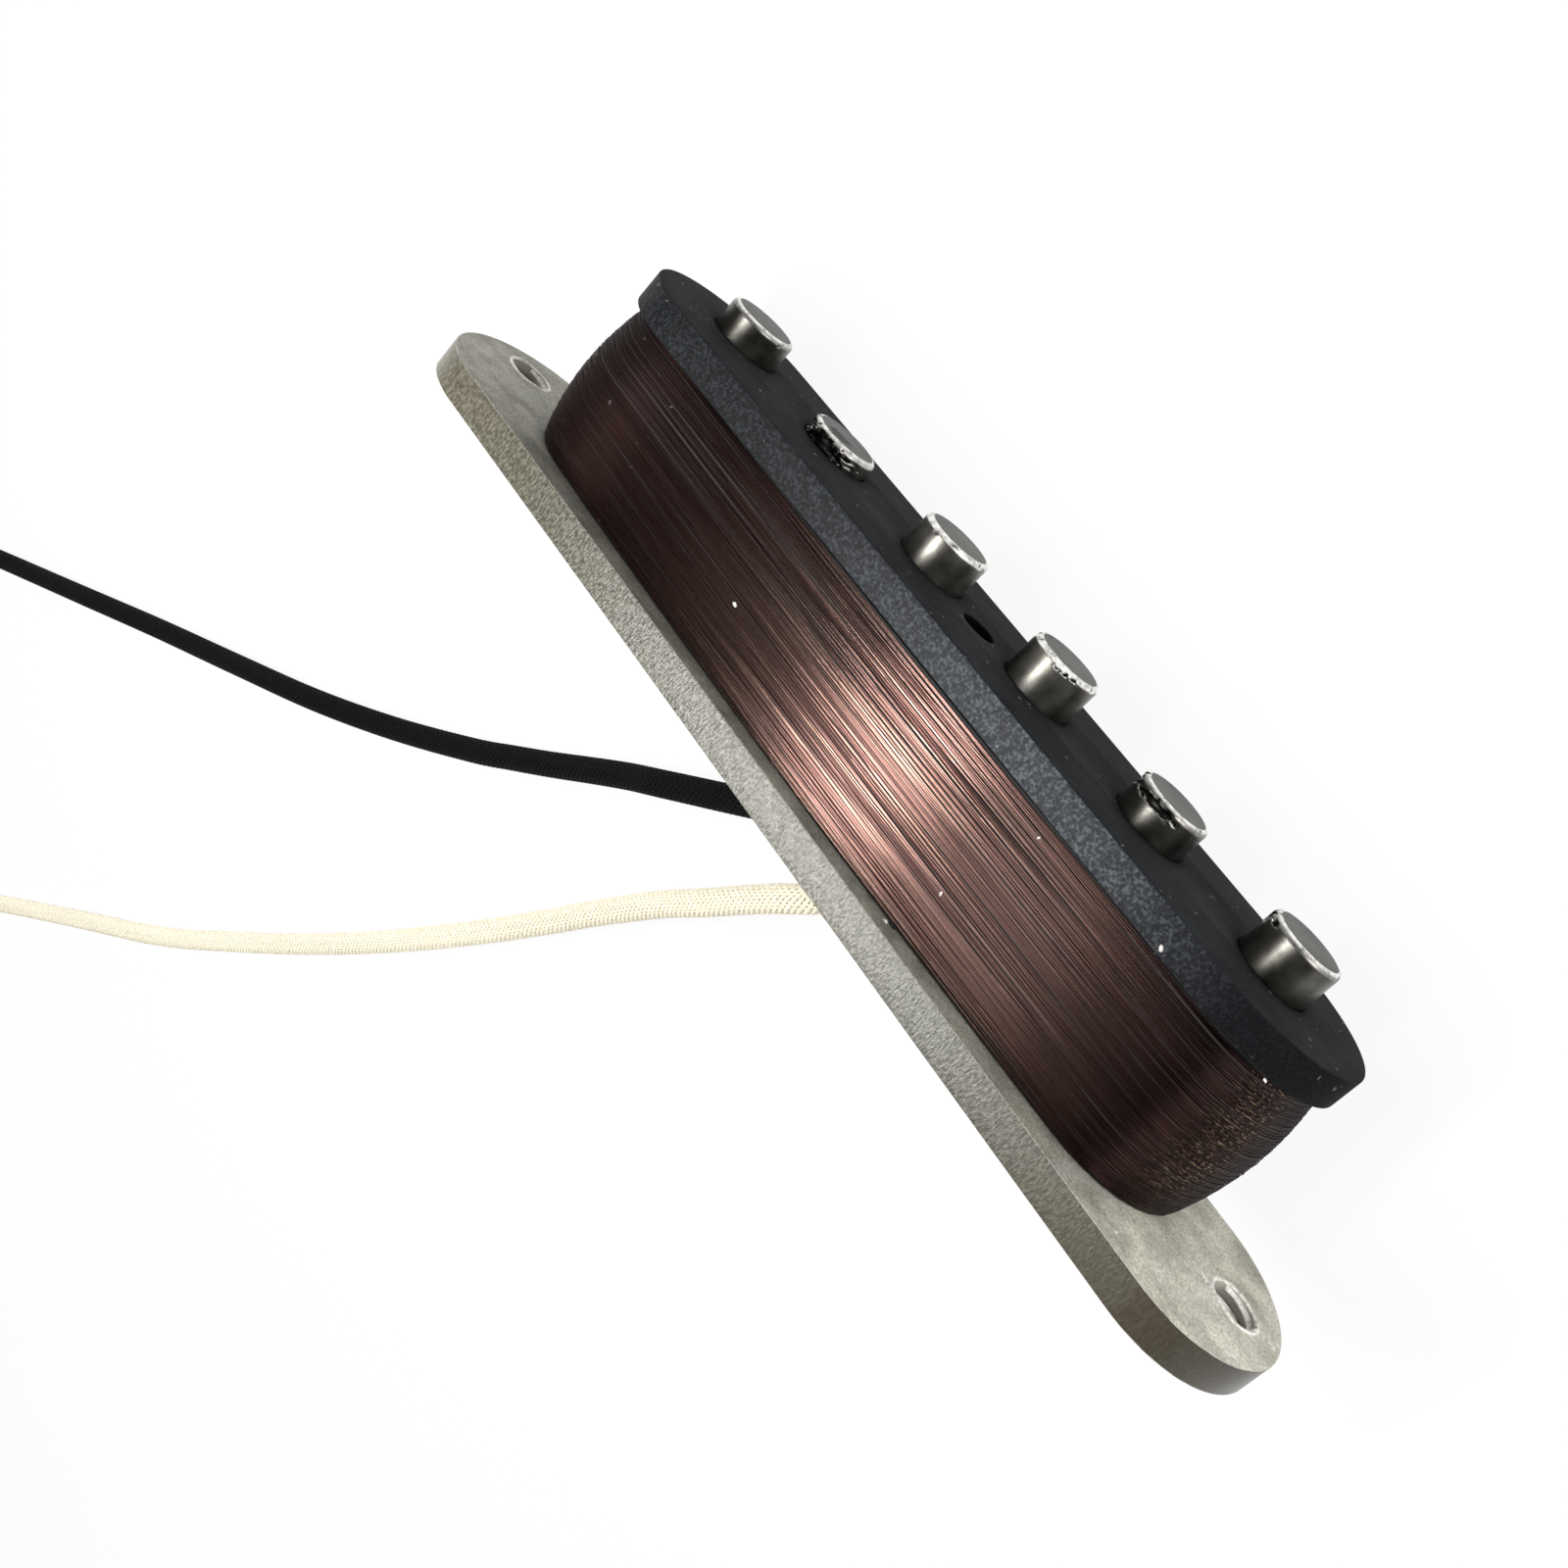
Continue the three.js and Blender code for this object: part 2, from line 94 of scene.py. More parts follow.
def add_node(tree, kind, inputs=None, **settings):
    """Adds a node with its settings, and fills its inputs with sockets or plain values."""
    made = tree.nodes.new(kind)
    for name, value in settings.items():
        setattr(made, name, value)
    for key, value in (inputs or {}).items():
        if isinstance(value, bpy.types.NodeSocket):
            tree.links.new(value, made.inputs[key])
        else:
            made.inputs[key].default_value = value
    return made


def add_math(tree, operation, *values):
    """One step of arithmetic on numbers."""
    inputs = dict(enumerate(values))
    return add_node(tree, "ShaderNodeMath", inputs, operation=operation).outputs[0]


def add_vector_math(tree, operation, *values):
    """One step of arithmetic on vectors."""
    made = add_node(tree, "ShaderNodeVectorMath", dict(enumerate(values)), operation=operation)
    return made.outputs["Value" if operation in ("DOT_PRODUCT", "LENGTH") else "Vector"]


def add_ramp(tree, factor, *stops):
    """A colour ramp through stops of (place, colour or grey)."""
    ramp = add_node(tree, "ShaderNodeValToRGB", {"Fac": factor})
    points = ramp.color_ramp.elements
    while len(points) < len(stops):
        points.new(0.5)
    for point, (place, colour) in zip(points, stops):
        point.position = place
        point.color = (*colour, 1) if isinstance(colour, tuple) else (colour, colour, colour, 1)
    return ramp.outputs["Color"]


def add_range(tree, value, low, high, to_low=0.0, to_high=1.0):
    """Carries a number from one range to another, held at both ends."""
    inputs = {
        "Value": value, "From Min": low, "From Max": high, "To Min": to_low, "To Max": to_high,
    }
    return add_node(tree, "ShaderNodeMapRange", inputs, interpolation_type="SMOOTHSTEP").outputs[0]


def add_noise(tree, place, scale, detail=2.0, roughness=0.5):
    """A cloudy pattern of numbers round a half."""
    inputs = {"Vector": place, "Scale": scale, "Detail": detail, "Roughness": roughness}
    return add_node(tree, "ShaderNodeTexNoise", inputs).outputs["Fac"]


def add_blend(tree, factor, first, second, kind="MIX"):
    """Blends two colours, each a socket or a plain colour."""
    inputs = {0: factor}
    for index, value in ((6, first), (7, second)):
        inputs[index] = (*value, 1) if isinstance(value, tuple) else value
    made = add_node(tree, "ShaderNodeMix", inputs, data_type="RGBA", blend_type=kind)
    return made.outputs[2]


def shader_group(name, inputs, outputs):
    """A shader node group with named inputs and outputs, and its own two end nodes."""
    group = bpy.data.node_groups.new(name, "ShaderNodeTree")
    for label, kind, value in inputs:
        socket = group.interface.new_socket(name=label, in_out="INPUT", socket_type=kind)
        socket.default_value = value
    for label, kind in outputs:
        group.interface.new_socket(name=label, in_out="OUTPUT", socket_type=kind)
    return group, group.nodes.new("NodeGroupInput"), group.nodes.new("NodeGroupOutput")


def place_group(tree, group, inputs):
    """Places a shader group in a material's tree, with its own values."""
    return add_node(tree, "ShaderNodeGroup", inputs, node_tree=group)


def new_material(name):
    """A material with its tree and its Principled shader."""
    material = bpy.data.materials.new(name)
    material.use_nodes = True
    return material, material.node_tree, material.node_tree.nodes["Principled BSDF"]


def link(tree, socket, target):
    """Joins an output to an input in a tree."""
    tree.links.new(socket, target)


def add_bump(tree, shader, height, strength, distance):
    """Roughens a surface by a pattern of heights."""
    inputs = {"Height": height, "Strength": strength, "Distance": distance}
    link(tree, add_node(tree, "ShaderNodeBump", inputs).outputs[0], shader.inputs["Normal"])


def new_piece(name, mesh, material, slot, *replaced):
    """Puts a finished mesh in the scene, on the one body, in place of its CAD nodes."""
    piece = bpy.data.objects.new(name, mesh)
    bpy.context.scene.collection.objects.link(piece)
    mesh.materials.clear()
    mesh.materials.append(material)
    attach(piece, "root")
    if replaced:
        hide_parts(*replaced)
    return piece


def smooth_by_angle(mesh, degrees):
    """Shades a mesh smooth, apart from edges sharper than the angle."""
    mesh.shade_smooth()
    mesh.set_sharp_from_angle(angle=math.radians(degrees))


def clean_up(mesh):
    """Merges doubled points and turns all faces outwards."""
    shape = bmesh.new()
    shape.from_mesh(mesh)
    bmesh.ops.remove_doubles(shape, verts=shape.verts, dist=merge_distance)
    bmesh.ops.recalc_face_normals(shape, faces=shape.faces)
    shape.to_mesh(mesh)
    shape.free()


def own_frame(tree):
    """Object coordinates turned into the pickup's own frame."""
    coordinates = tree.nodes.new("ShaderNodeTexCoord").outputs["Object"]
    inputs = {"Vector": coordinates, "Location": lie_place, "Rotation": (lie_turn, 0, 0)}
    return add_node(tree, "ShaderNodeMapping", inputs, vector_type="TEXTURE").outputs[0]


# Vulcanised fibre is pressed from many sheets of cotton paper: its faces are mottled, and its
# punched walls show torn fibres that run through the thickness.
fibre_group, fibre_in, fibre_out = shader_group(
    "fibre_board",
    [("Stroke Scale", "NodeSocketFloat", 2600.0), ("Mottle Scale", "NodeSocketFloat", 300.0)],
    [(label, "NodeSocketFloat") for label in ("Wall", "Strokes", "Mottle", "Rim", "Grain")],
)
fibre_frame = own_frame(fibre_group)
fibre_normal = fibre_group.nodes.new("ShaderNodeNewGeometry").outputs["Normal"]
facing = add_math(
    fibre_group, "ABSOLUTE", add_vector_math(fibre_group, "DOT_PRODUCT", fibre_normal, up_axis)
)
steepest_rim = 0.3
flattest_rim = 0.97
wall = add_math(fibre_group, "LESS_THAN", facing, steepest_rim)
rim = add_math(
    fibre_group, "MULTIPLY",
    add_math(fibre_group, "GREATER_THAN", facing, steepest_rim),
    add_math(fibre_group, "LESS_THAN", facing, flattest_rim),
)
stroke_stretch = add_vector_math(fibre_group, "MULTIPLY", fibre_frame, (1.0, 1.0, 0.4))
strokes = add_noise(fibre_group, stroke_stretch, fibre_in.outputs["Stroke Scale"], 3.0, 0.6)
mottle = add_noise(fibre_group, fibre_frame, fibre_in.outputs["Mottle Scale"], 6.0, 0.62)
grain = add_noise(fibre_group, fibre_frame, 5200.0)
for label, socket in (
    ("Wall", wall), ("Strokes", strokes), ("Mottle", mottle), ("Rim", rim), ("Grain", grain),
):
    link(fibre_group, socket, fibre_out.inputs[label])


def arc(centre, radii, start, end, steps=arc_steps):
    """Points along part of an ellipse, angles in turns."""
    points = []
    for step in range(steps + 1):
        angle = 2 * math.pi * (start + (end - start) * step / steps)
        x = centre[0] + radii[0] * math.cos(angle)
        points.append((x, centre[1] + radii[1] * math.sin(angle)))
    return points


def eased(start, end, ease):
    """Points along the flank of the bulge, level at both of its ends."""
    points = []
    for step in range(arc_steps + 1):
        t = step / arc_steps
        pull = 3 * t * (1 - t) ** 2 * (start[0] - ease) + 3 * t * t * (1 - t) * (end[0] + ease)
        x = (1 - t) ** 3 * start[0] + pull + t ** 3 * end[0]
        y = start[1] + (end[1] - start[1]) * t * t * (3 - 2 * t)
        points.append((x, y))
    return points


def round_hole(x, y, radius):
    """The outline of a round hole."""
    return arc((x, y), (radius, radius), 0, 1 - 1 / hole_sides, hole_sides - 1)


def evaluated_mesh(source):
    """The plain mesh that an object gives once its curve or modifiers are worked out."""
    bpy.context.view_layer.update()
    graph = bpy.context.evaluated_depsgraph_get()
    return bpy.data.meshes.new_from_object(source.evaluated_get(graph))


def plate_mesh(name, outline, holes, thickness, z, bevel):
    """A flat plate with holes and softened edges, made from its outline, in the own frame."""
    drawing = bpy.data.curves.new(name, "CURVE")
    drawing.dimensions = "2D"
    drawing.fill_mode = "BOTH"
    for loop in (outline, *holes):
        spline = drawing.splines.new("POLY")
        spline.points.add(len(loop) - 1)
        for point, (x, y) in zip(spline.points, loop):
            point.co = (x, y, 0, 1)
        spline.use_cyclic_u = True
    drawing.extrude = thickness / 2 - bevel
    drawing.bevel_depth = bevel
    drawing.bevel_resolution = 2
    drawing.offset = -bevel
    drawn = bpy.data.objects.new(name, drawing)
    bpy.context.scene.collection.objects.link(drawn)
    mesh = evaluated_mesh(drawn)
    bpy.data.objects.remove(drawn)
    bpy.data.curves.remove(drawing)
    mesh.name = name
    mesh.transform(lie @ Matrix.Translation((0, 0, z + thickness / 2)))
    clean_up(mesh)
    smooth_by_angle(mesh, 30)
    return mesh


def pole_holes():
    """The six holes that hold the magnets."""
    radius = magnet_radius + press_gap
    return [round_hole(first_pole + pole * pole_pitch, 0, radius) for pole in range(pole_count)]


def eyelet_place(side):
    """How far along the row an eyelet is, black at -1 and white at 1."""
    return eyelet_offset + side * eyelet_spacing / 2


def bottom_outline():
    """The outline, anticlockwise from the near edge."""
    ear_middle = (top_half_width - near_edge) / 2
    ear_half_width = (top_half_width + near_edge) / 2
    radii = (ear_round, ear_half_width)
    half = [*arc((ear_centre, ear_middle), radii, -1 / 4, 1 / 4)]
    half += eased((flank_foot, top_half_width), (bulge_half_length, far_reach), flank_ease)
    other = [(-x, y) for x, y in reversed(half)]
    return [*half, *other]


bottom_holes = pole_holes()
for side in (-1, 1):
    bottom_holes.append(round_hole(side * screw_hole_spacing / 2, 0, screw_hole_radius))
    bottom_holes.append(round_hole(eyelet_place(side), eyelet_across, eyelet_hole_radius))

grey_fibre, tree, shader = new_material("grey_vulcanised_fibre")
board = place_group(tree, fibre_group, {"Stroke Scale": 6500.0, "Mottle Scale": 330.0})
bottom_place = add_node(tree, "ShaderNodeSeparateXYZ", {"Vector": own_frame(tree)})
along_row = bottom_place.outputs["X"]
from_middle = add_math(tree, "ABSOLUTE", along_row)
face_colour = add_ramp(
    tree, board.outputs["Mottle"],
    (0.3, (0.2, 0.19, 0.155)), (0.48, (0.3, 0.29, 0.24)), (0.66, (0.42, 0.41, 0.36)),
)
stain = add_noise(tree, own_frame(tree), 420.0, 5.0)
stained = add_ramp(tree, stain, (0.48, 0.0), (0.66, 0.8))
face_colour = add_blend(tree, stained, face_colour, (0.45, 0.43, 0.35))
lint = add_ramp(tree, board.outputs["Grain"], (0.3, 0.68), (0.7, 1.3))
face_colour = add_blend(tree, 1.0, face_colour, lint, "MULTIPLY")
# The face is painted darker on the ledge beside the coil, where the coil's shade falls: painted
# shade.
coil_side_shade = add_range(tree, from_middle, 0.0265, 0.034, 0.55, 1.0)
# The face is painted lighter towards the bass ear and darker towards the treble ear, as the light
# falls: painted light and shade.
face_light_to_bass = add_range(tree, along_row, -0.03, 0.036, 0.78, 1.45)
face_shade = add_math(tree, "MULTIPLY", coil_side_shade, face_light_to_bass)
face_colour = add_blend(tree, 1.0, face_colour, face_shade, "MULTIPLY")
wall_colour = add_ramp(
    tree, board.outputs["Strokes"],
    (0.38, (0.05, 0.047, 0.032)), (0.5, (0.098, 0.093, 0.067)), (0.6, (0.2, 0.192, 0.148)),
)
# Pale grain is painted mostly in the middle of the wall, where the lamp's highlight falls: partly
# pale fibres, partly painted glints.
bright_grain = add_ramp(tree, board.outputs["Grain"], (0.5, 0.0), (0.68, 0.5))
glint_middle = add_range(tree, from_middle, 0.008, 0.03, 1.0, 0.15)
bright_grain = add_math(tree, "MULTIPLY", bright_grain, glint_middle)
wall_colour = add_blend(tree, bright_grain, wall_colour, (0.36, 0.35, 0.3))
wall_tint = add_math(
    tree, "MULTIPLY", add_range(tree, from_middle, 0.018, 0.038, 0.0, 0.75),
    add_range(tree, along_row, -0.03, 0.01, 0.35, 1.0),
)
wall_colour = add_blend(tree, wall_tint, wall_colour, (0.14, 0.115, 0.078))
# Along the row the wall is painted lighter at the treble tip and darker from the lamp's highlight
# towards the bass tip: painted light and shade.
treble_tip_light = add_range(tree, along_row, -0.031, -0.02, 1.1, 1.0)
wall_colour = add_blend(tree, 1.0, wall_colour, treble_tip_light, "MULTIPLY")
bass_side_shade = add_range(tree, along_row, 0.008, 0.018, 1.0, 0.7)
wall_colour = add_blend(tree, 1.0, wall_colour, bass_side_shade, "MULTIPLY")
bass_tip_shade = add_range(tree, along_row, 0.024, 0.04, 1.0, 0.58)
wall_colour = add_blend(tree, 1.0, wall_colour, bass_tip_shade, "MULTIPLY")
cut_reach = 1.05 * screw_hole_radius
across_row = add_math(tree, "ABSOLUTE", bottom_place.outputs["Y"])
in_hole = add_math(
    tree, "MULTIPLY",
    add_math(tree, "GREATER_THAN", from_middle, screw_hole_spacing / 2 - cut_reach),
    add_math(tree, "LESS_THAN", across_row, cut_reach),
)
in_hole = add_math(
    tree, "MULTIPLY", in_hole,
    add_math(tree, "LESS_THAN", from_middle, screw_hole_spacing / 2 + cut_reach),
)
# Inside the screw holes the wall is painted darker the deeper it lies: painted shade.
hole_depth = add_range(tree, bottom_place.outputs["Z"], 0.0012, 0.0021)
hole_shade_colour = add_blend(tree, hole_depth, (0.03, 0.028, 0.022), (0.5, 0.48, 0.41))
wall_colour = add_blend(tree, in_hole, wall_colour, hole_shade_colour)
colour = add_blend(tree, board.outputs["Wall"], face_colour, wall_colour)
# The softened rims are painted paler: a painted highlight along the edges.
rim_grain = add_ramp(tree, board.outputs["Grain"], (0.4, 0.1), (0.6, 0.8))
rim_highlight = add_math(tree, "MULTIPLY", board.outputs["Rim"], rim_grain)
colour = add_blend(tree, rim_highlight, colour, (0.44, 0.43, 0.38))
link(tree, colour, shader.inputs["Base Color"])
roughness = add_math(tree, "MULTIPLY_ADD", board.outputs["Wall"], -0.32, 0.6)
link(tree, roughness, shader.inputs["Roughness"])
shader.inputs["Specular IOR Level"].default_value = 0.45
relief = add_math(tree, "MULTIPLY_ADD", board.outputs["Grain"], 0.6, board.outputs["Strokes"])
relief = add_math(tree, "MULTIPLY", relief, add_math(tree, "MULTIPLY_ADD", glint_middle, 0.7, 0.3))
add_bump(tree, shader, relief, 0.55, 0.00006)
new_piece(
    "bottom_plate",
    plate_mesh("bottom_plate", bottom_outline(), bottom_holes, bottom_thickness, 0, plate_bevel),
    grey_fibre, "grey_fibre", "bottom_flatwork",
)

# Screw holes: a machine screw driven into the plain hole has cut a thread in the fibre and
# pushed up a ragged pale burr round it, on both faces.
thread_pitch = 0.00079
thread_depth = 0.0003
thread_runout = 0.3
thread_steps = 40
burr_width = 0.00027
burr_height = 0.00008
burr_sink = 0.00004
burr_overhang = 0.00002
burr_segments = 120


def skin_mesh(name, rings, goes_round, place=lie):
    """Joins rings of equally many points into one closed skin, and puts it in its place."""
    shape = bmesh.new()
    rows = [[shape.verts.new(point) for point in ring] for ring in rings]
    pairs = list(zip(rows, [*rows[1:], rows[0]] if goes_round else rows[1:]))
    for low, high in pairs:
        for index in range(len(low)):
            after = (index + 1) % len(low)
            shape.faces.new((low[index], low[after], high[after], high[index]))
    if not goes_round:
        shape.faces.new(rows[0])
        shape.faces.new(rows[-1])
    bmesh.ops.recalc_face_normals(shape, faces=shape.faces)
    mesh = bpy.data.meshes.new(name)
    shape.to_mesh(mesh)
    shape.free()
    mesh.transform(place)
    return mesh


torn_fibre, tree, shader = new_material("torn_fibre")
shreds = add_noise(tree, own_frame(tree), 4200.0, 4.0)
colour = add_ramp(
    tree, shreds,
    (0.32, (0.5, 0.48, 0.41)), (0.46, (0.76, 0.74, 0.67)), (0.6, (0.93, 0.92, 0.88)),
)
link(tree, colour, shader.inputs["Base Color"])
shader.inputs["Roughness"].default_value = 0.85
add_bump(tree, shader, shreds, 0.35, 0.00006)

for end, label in ((-1, "treble"), (1, "bass")):
    middle = Vector((end * screw_hole_spacing / 2, 0, 0))
    turns = bottom_thickness / thread_pitch - 2 * thread_runout
    wall_radius = screw_hole_radius + thread_depth / 10
    flank = Vector((0, 0, thread_pitch / 4))
    rings = []
    for step in range(round(turns * thread_steps) + 1):
        turn = step / thread_steps
        out = Vector((math.cos(2 * math.pi * turn), math.sin(2 * math.pi * turn), 0))
        height = middle + Vector((0, 0, thread_pitch * (turn + thread_runout)))
        worn = thread_depth * (0.8 + 0.4 * noise.noise(out * 3 + Vector((end * 5, 0, turn))))
        rings.append([
            height + out * wall_radius - flank,
            height + out * (screw_hole_radius - worn),
            height + out * wall_radius + flank,
        ])
    mesh = skin_mesh(f"{label}_thread", rings, False)
    new_piece(f"{label}_thread", mesh, torn_fibre, "grey_fibre")
    for face, word in ((1, "upper"), (-1, "lower")):
        plane = bottom_thickness if face > 0 else 0
        rings = []
        for segment in range(burr_segments):
            turn = segment / burr_segments
            out = Vector((math.cos(2 * math.pi * turn), math.sin(2 * math.pi * turn), 0))
            ragged = noise.noise(out * 1.6 + Vector((end * 3, face * 4, 0)))
            ragged += 0.15 * noise.noise(out * 5 + Vector((end * 3, face * 4, 5)))
            crest = burr_height * max(0.3, 1 + 1.1 * ragged)
            spread = burr_width * (1 + 0.6 * noise.noise(out * 2.3 + Vector((end * 9, face, 2))))
            rings.append([
                middle + out * radius + Vector((0, 0, plane + face * lift)) for radius, lift in (
                    (screw_hole_radius - burr_overhang, -burr_sink),
                    (screw_hole_radius + spread * 0.1, crest * 0.8),
                    (screw_hole_radius + spread * 0.4, crest),
                    (screw_hole_radius + spread * 0.75, crest * 0.35),
                    (screw_hole_radius + spread, -burr_sink),
                )
            ])
        name = f"{label}_{word}_burr"
        mesh = skin_mesh(name, rings, True)
        smooth_by_angle(mesh, 60)
        new_piece(name, mesh, torn_fibre, "grey_fibre")

# Rod magnets: cast rods ground to size, with a coarse chamfer that has chipped. They are
# pressed through both flatworks, flush below and staggered above to follow the strings.
magnet_chamfer = 0.00035
magnet_segments = 96
pole_rises = [0.00205, 0.00115, 0.0025, 0.0028, 0.00225, 0.00275]

magnet_metal, tree, shader = new_material("ground_magnet")
magnet_frame = own_frame(tree)
normal = tree.nodes.new("ShaderNodeNewGeometry").outputs["Normal"]
facing = add_math(tree, "ABSOLUTE", add_vector_math(tree, "DOT_PRODUCT", normal, up_axis))
end_facing = 0.96
side_facing = 0.25
end_mask = add_math(tree, "GREATER_THAN", facing, end_facing)
chamfer_mask = add_math(
    tree, "MULTIPLY", add_math(tree, "GREATER_THAN", facing, side_facing),
    add_math(tree, "LESS_THAN", facing, end_facing),
)
pits = add_noise(tree, magnet_frame, 2600.0, 4.0)
clouds = add_noise(tree, magnet_frame, 500.0, 5.0)
side_colour = add_ramp(tree, clouds, (0.34, (0.1, 0.095, 0.08)), (0.66, (0.32, 0.306, 0.272)))
# The end faces are given a darker colour than the sides of the same metal: painted shade. They are
# also rougher.
shaded_end_colour = add_ramp(tree, clouds, (0.3, (0.088, 0.087, 0.08)), (0.7, (0.145, 0.143, 0.132)))
edge_colour = add_ramp(
    tree, pits,
    (0.3, (0.04, 0.036, 0.03)), (0.38, (0.5, 0.49, 0.45)), (0.58, (0.86, 0.85, 0.81)),
)
worn = add_node(tree, "ShaderNodeAttribute", attribute_name="worn").outputs["Fac"]
side_shade = add_range(tree, worn, 0.2, 1.0, 0.6, 1.0)
side_colour = add_blend(tree, 1.0, side_colour, side_shade, "MULTIPLY")
colour = add_blend(tree, end_mask, side_colour, shaded_end_colour)
worn_edge = add_math(tree, "MULTIPLY", chamfer_mask, worn)
colour = add_blend(tree, worn_edge, colour, edge_colour)
# Chipped places are painted near-black: painted shade.
chip_shade = add_node(tree, "ShaderNodeAttribute", attribute_name="chip").outputs["Fac"]
chip_shade = add_math(tree, "GREATER_THAN", chip_shade, 0.3)
colour = add_blend(tree, chip_shade, colour, (0.012, 0.012, 0.011))
link(tree, colour, shader.inputs["Base Color"])
link(tree, add_math(tree, "MULTIPLY_ADD", worn_edge, -0.75, 1.0), shader.inputs["Metallic"])
roughness = add_math(tree, "MULTIPLY_ADD", end_mask, 0.19, 0.32)
link(tree, roughness, shader.inputs["Roughness"])
grind = add_noise(tree, add_vector_math(tree, "MULTIPLY", magnet_frame, (1.0, 0.12, 1.0)), 9000.0)
add_bump(tree, shader, grind, 0.2, 0.00002)

# Chips broken out of the rods when they were ground, by pole: where round the rod, in turns,
# how far below the top, half width round the rod and half height.
# The chips are painted near-black: painted shade in their hollows. The broad ones on the second and
# fifth rods also stand in for the shade at those rods' feet.
chips = {
    0: [(0.535, 0.0004, 0.0003, 0.0002), (0.56, 0.0009, 0.0003, 0.0003)],
    1: [(0.58, 0.00085, 0.0018, 0.0006), (0.76, 0.00085, 0.0024, 0.0006)],
    3: [(0.555, 0.0003, 0.0004, 0.00022), (0.79, 0.00045, 0.00016, 0.0001),
        (0.83, 0.0004, 0.00012, 0.0001), (0.87, 0.0003, 0.00014, 0.0001)],
    4: [(0.545, 0.0006, 0.0007, 0.0006), (0.74, 0.0006, 0.0018, 0.0003)],
    5: [(0.55, 0.0006, 0.00035, 0.0005), (0.62, 0.00045, 0.0006, 0.00012)],
}
worn_poles = {0: 0.25, 1: 0.5, 2: 1.0, 3: 1.0, 4: 0.15, 5: 0.2}
chip_depth = 0.00022
chip_rows = 34


def chip_at(pole, turn, below):
    """How much is broken away at a place on a rod, from 0 to 1."""
    angle = 2 * math.pi * turn
    place = Vector((math.cos(angle), math.sin(angle), 0)) * 2.5
    place += Vector((pole * 7.3, 0, below * 1100))
    rough = noise.noise(place * 3) + 0.5 * noise.noise(place * 7)
    crumbled = max(noise.noise(place * 2.6) + 0.4 * rough - 0.58, 0) * 3
    most = crumbled if below < 1.2 * magnet_chamfer else 0
    for middle, drop, half_width, half_height in chips.get(pole, []):
        round_way = (turn - middle) * 2 * math.pi * magnet_radius / half_width
        away = math.hypot(round_way, (below - drop) / half_height) + 0.7 * rough
        most = max(most, 2.2 * (1 - away))
    return min(max(most, 0), 1)


def magnet_mesh(pole, top):
    """A rod with its chamfered ends, and the chips out of the end that shows."""
    inner = magnet_radius - magnet_chamfer
    rows = [(inner, 0), (magnet_radius, magnet_chamfer), (magnet_radius, top_underside)]
    showing = top - magnet_chamfer - stack_height
    for row in range(chip_rows):
        rows.append((magnet_radius, stack_height + showing * row / (chip_rows - 1)))
    for step in (1, 2, 3):
        turn = math.pi / 6 * step
        ease = magnet_chamfer * (1 - math.cos(turn))
        rows.append((magnet_radius - ease, top - magnet_chamfer * (1 - math.sin(turn))))
    rows.append((inner, top))
    rows.append((inner * 0.9, top))
    shape = bmesh.new()
    chip_layer = shape.verts.layers.float.new("chip")
    worn_layer = shape.verts.layers.float.new("worn")
    rings = []
    for radius, height in rows:
        ring = []
        for segment in range(magnet_segments):
            turn = segment / magnet_segments
            angle = 2 * math.pi * turn
            chip = chip_at(pole, turn, top - height) if height > top_underside else 0
            r = radius - chip * chip_depth
            x = first_pole + pole * pole_pitch + r * math.cos(angle)
            vert = shape.verts.new((x, r * math.sin(angle), height))
            vert[chip_layer] = chip
            vert[worn_layer] = 1 if height > top - 0.2 * magnet_chamfer else worn_poles[pole]
            ring.append(vert)
        rings.append(ring)
    for low, high in zip(rings, rings[1:]):
        for segment in range(magnet_segments):
            after = (segment + 1) % magnet_segments
            shape.faces.new((low[segment], low[after], high[after], high[segment]))
    shape.faces.new(rings[0])
    shape.faces.new(rings[-1])
    bmesh.ops.recalc_face_normals(shape, faces=shape.faces)
    mesh = bpy.data.meshes.new(f"rod_{pole + 1}")
    shape.to_mesh(mesh)
    shape.free()
    mesh.transform(lie)
    smooth_by_angle(mesh, 40)
    return mesh


for pole, rise in enumerate(pole_rises):
    rod = magnet_mesh(pole, stack_height + rise)
    new_piece(f"rod_{pole + 1}", rod, magnet_metal, "magnet", f"magnet_{pole + 1}")

# Top flatwork: black vulcanised fibre, a strip with round ends. The small hole between the
# middle magnets takes the pin that holds the work on the winding machine.
centre_hole_radius = 0.0012
centre_hole_across = -0.0006
top_bevel = 1.6 * plate_bevel

# Pale specks and short hairs from the workbench lie on the black fibre and on the coil.
dust_group, dust_in, dust_out = shader_group(
    "dust",
    [("Scale", "NodeSocketFloat", 900.0), ("Amount", "NodeSocketFloat", 0.1)],
    [("Mask", "NodeSocketFloat")],
)
dust_frame = own_frame(dust_group)
dust_cells = add_node(
    dust_group, "ShaderNodeTexVoronoi",
    {"Vector": dust_frame, "Scale": dust_in.outputs["Scale"], "Randomness": 1.0},
    feature="F1",
)
dust_pick = add_node(dust_group, "ShaderNodeSeparateColor", {"Color": dust_cells.outputs["Color"]})
dust_chosen = add_math(dust_group, "LESS_THAN", dust_pick.outputs["Red"], dust_in.outputs["Amount"])
dust_edge = add_noise(dust_group, dust_frame, 9000.0)
dust_size = add_math(
    dust_group, "MULTIPLY", dust_pick.outputs["Green"],
    add_math(dust_group, "MULTIPLY_ADD", dust_edge, 1.6, -0.55),
)
dust_specks = add_math(
    dust_group, "MULTIPLY", dust_chosen,
    add_math(dust_group, "LESS_THAN", dust_cells.outputs["Distance"], dust_size),
)
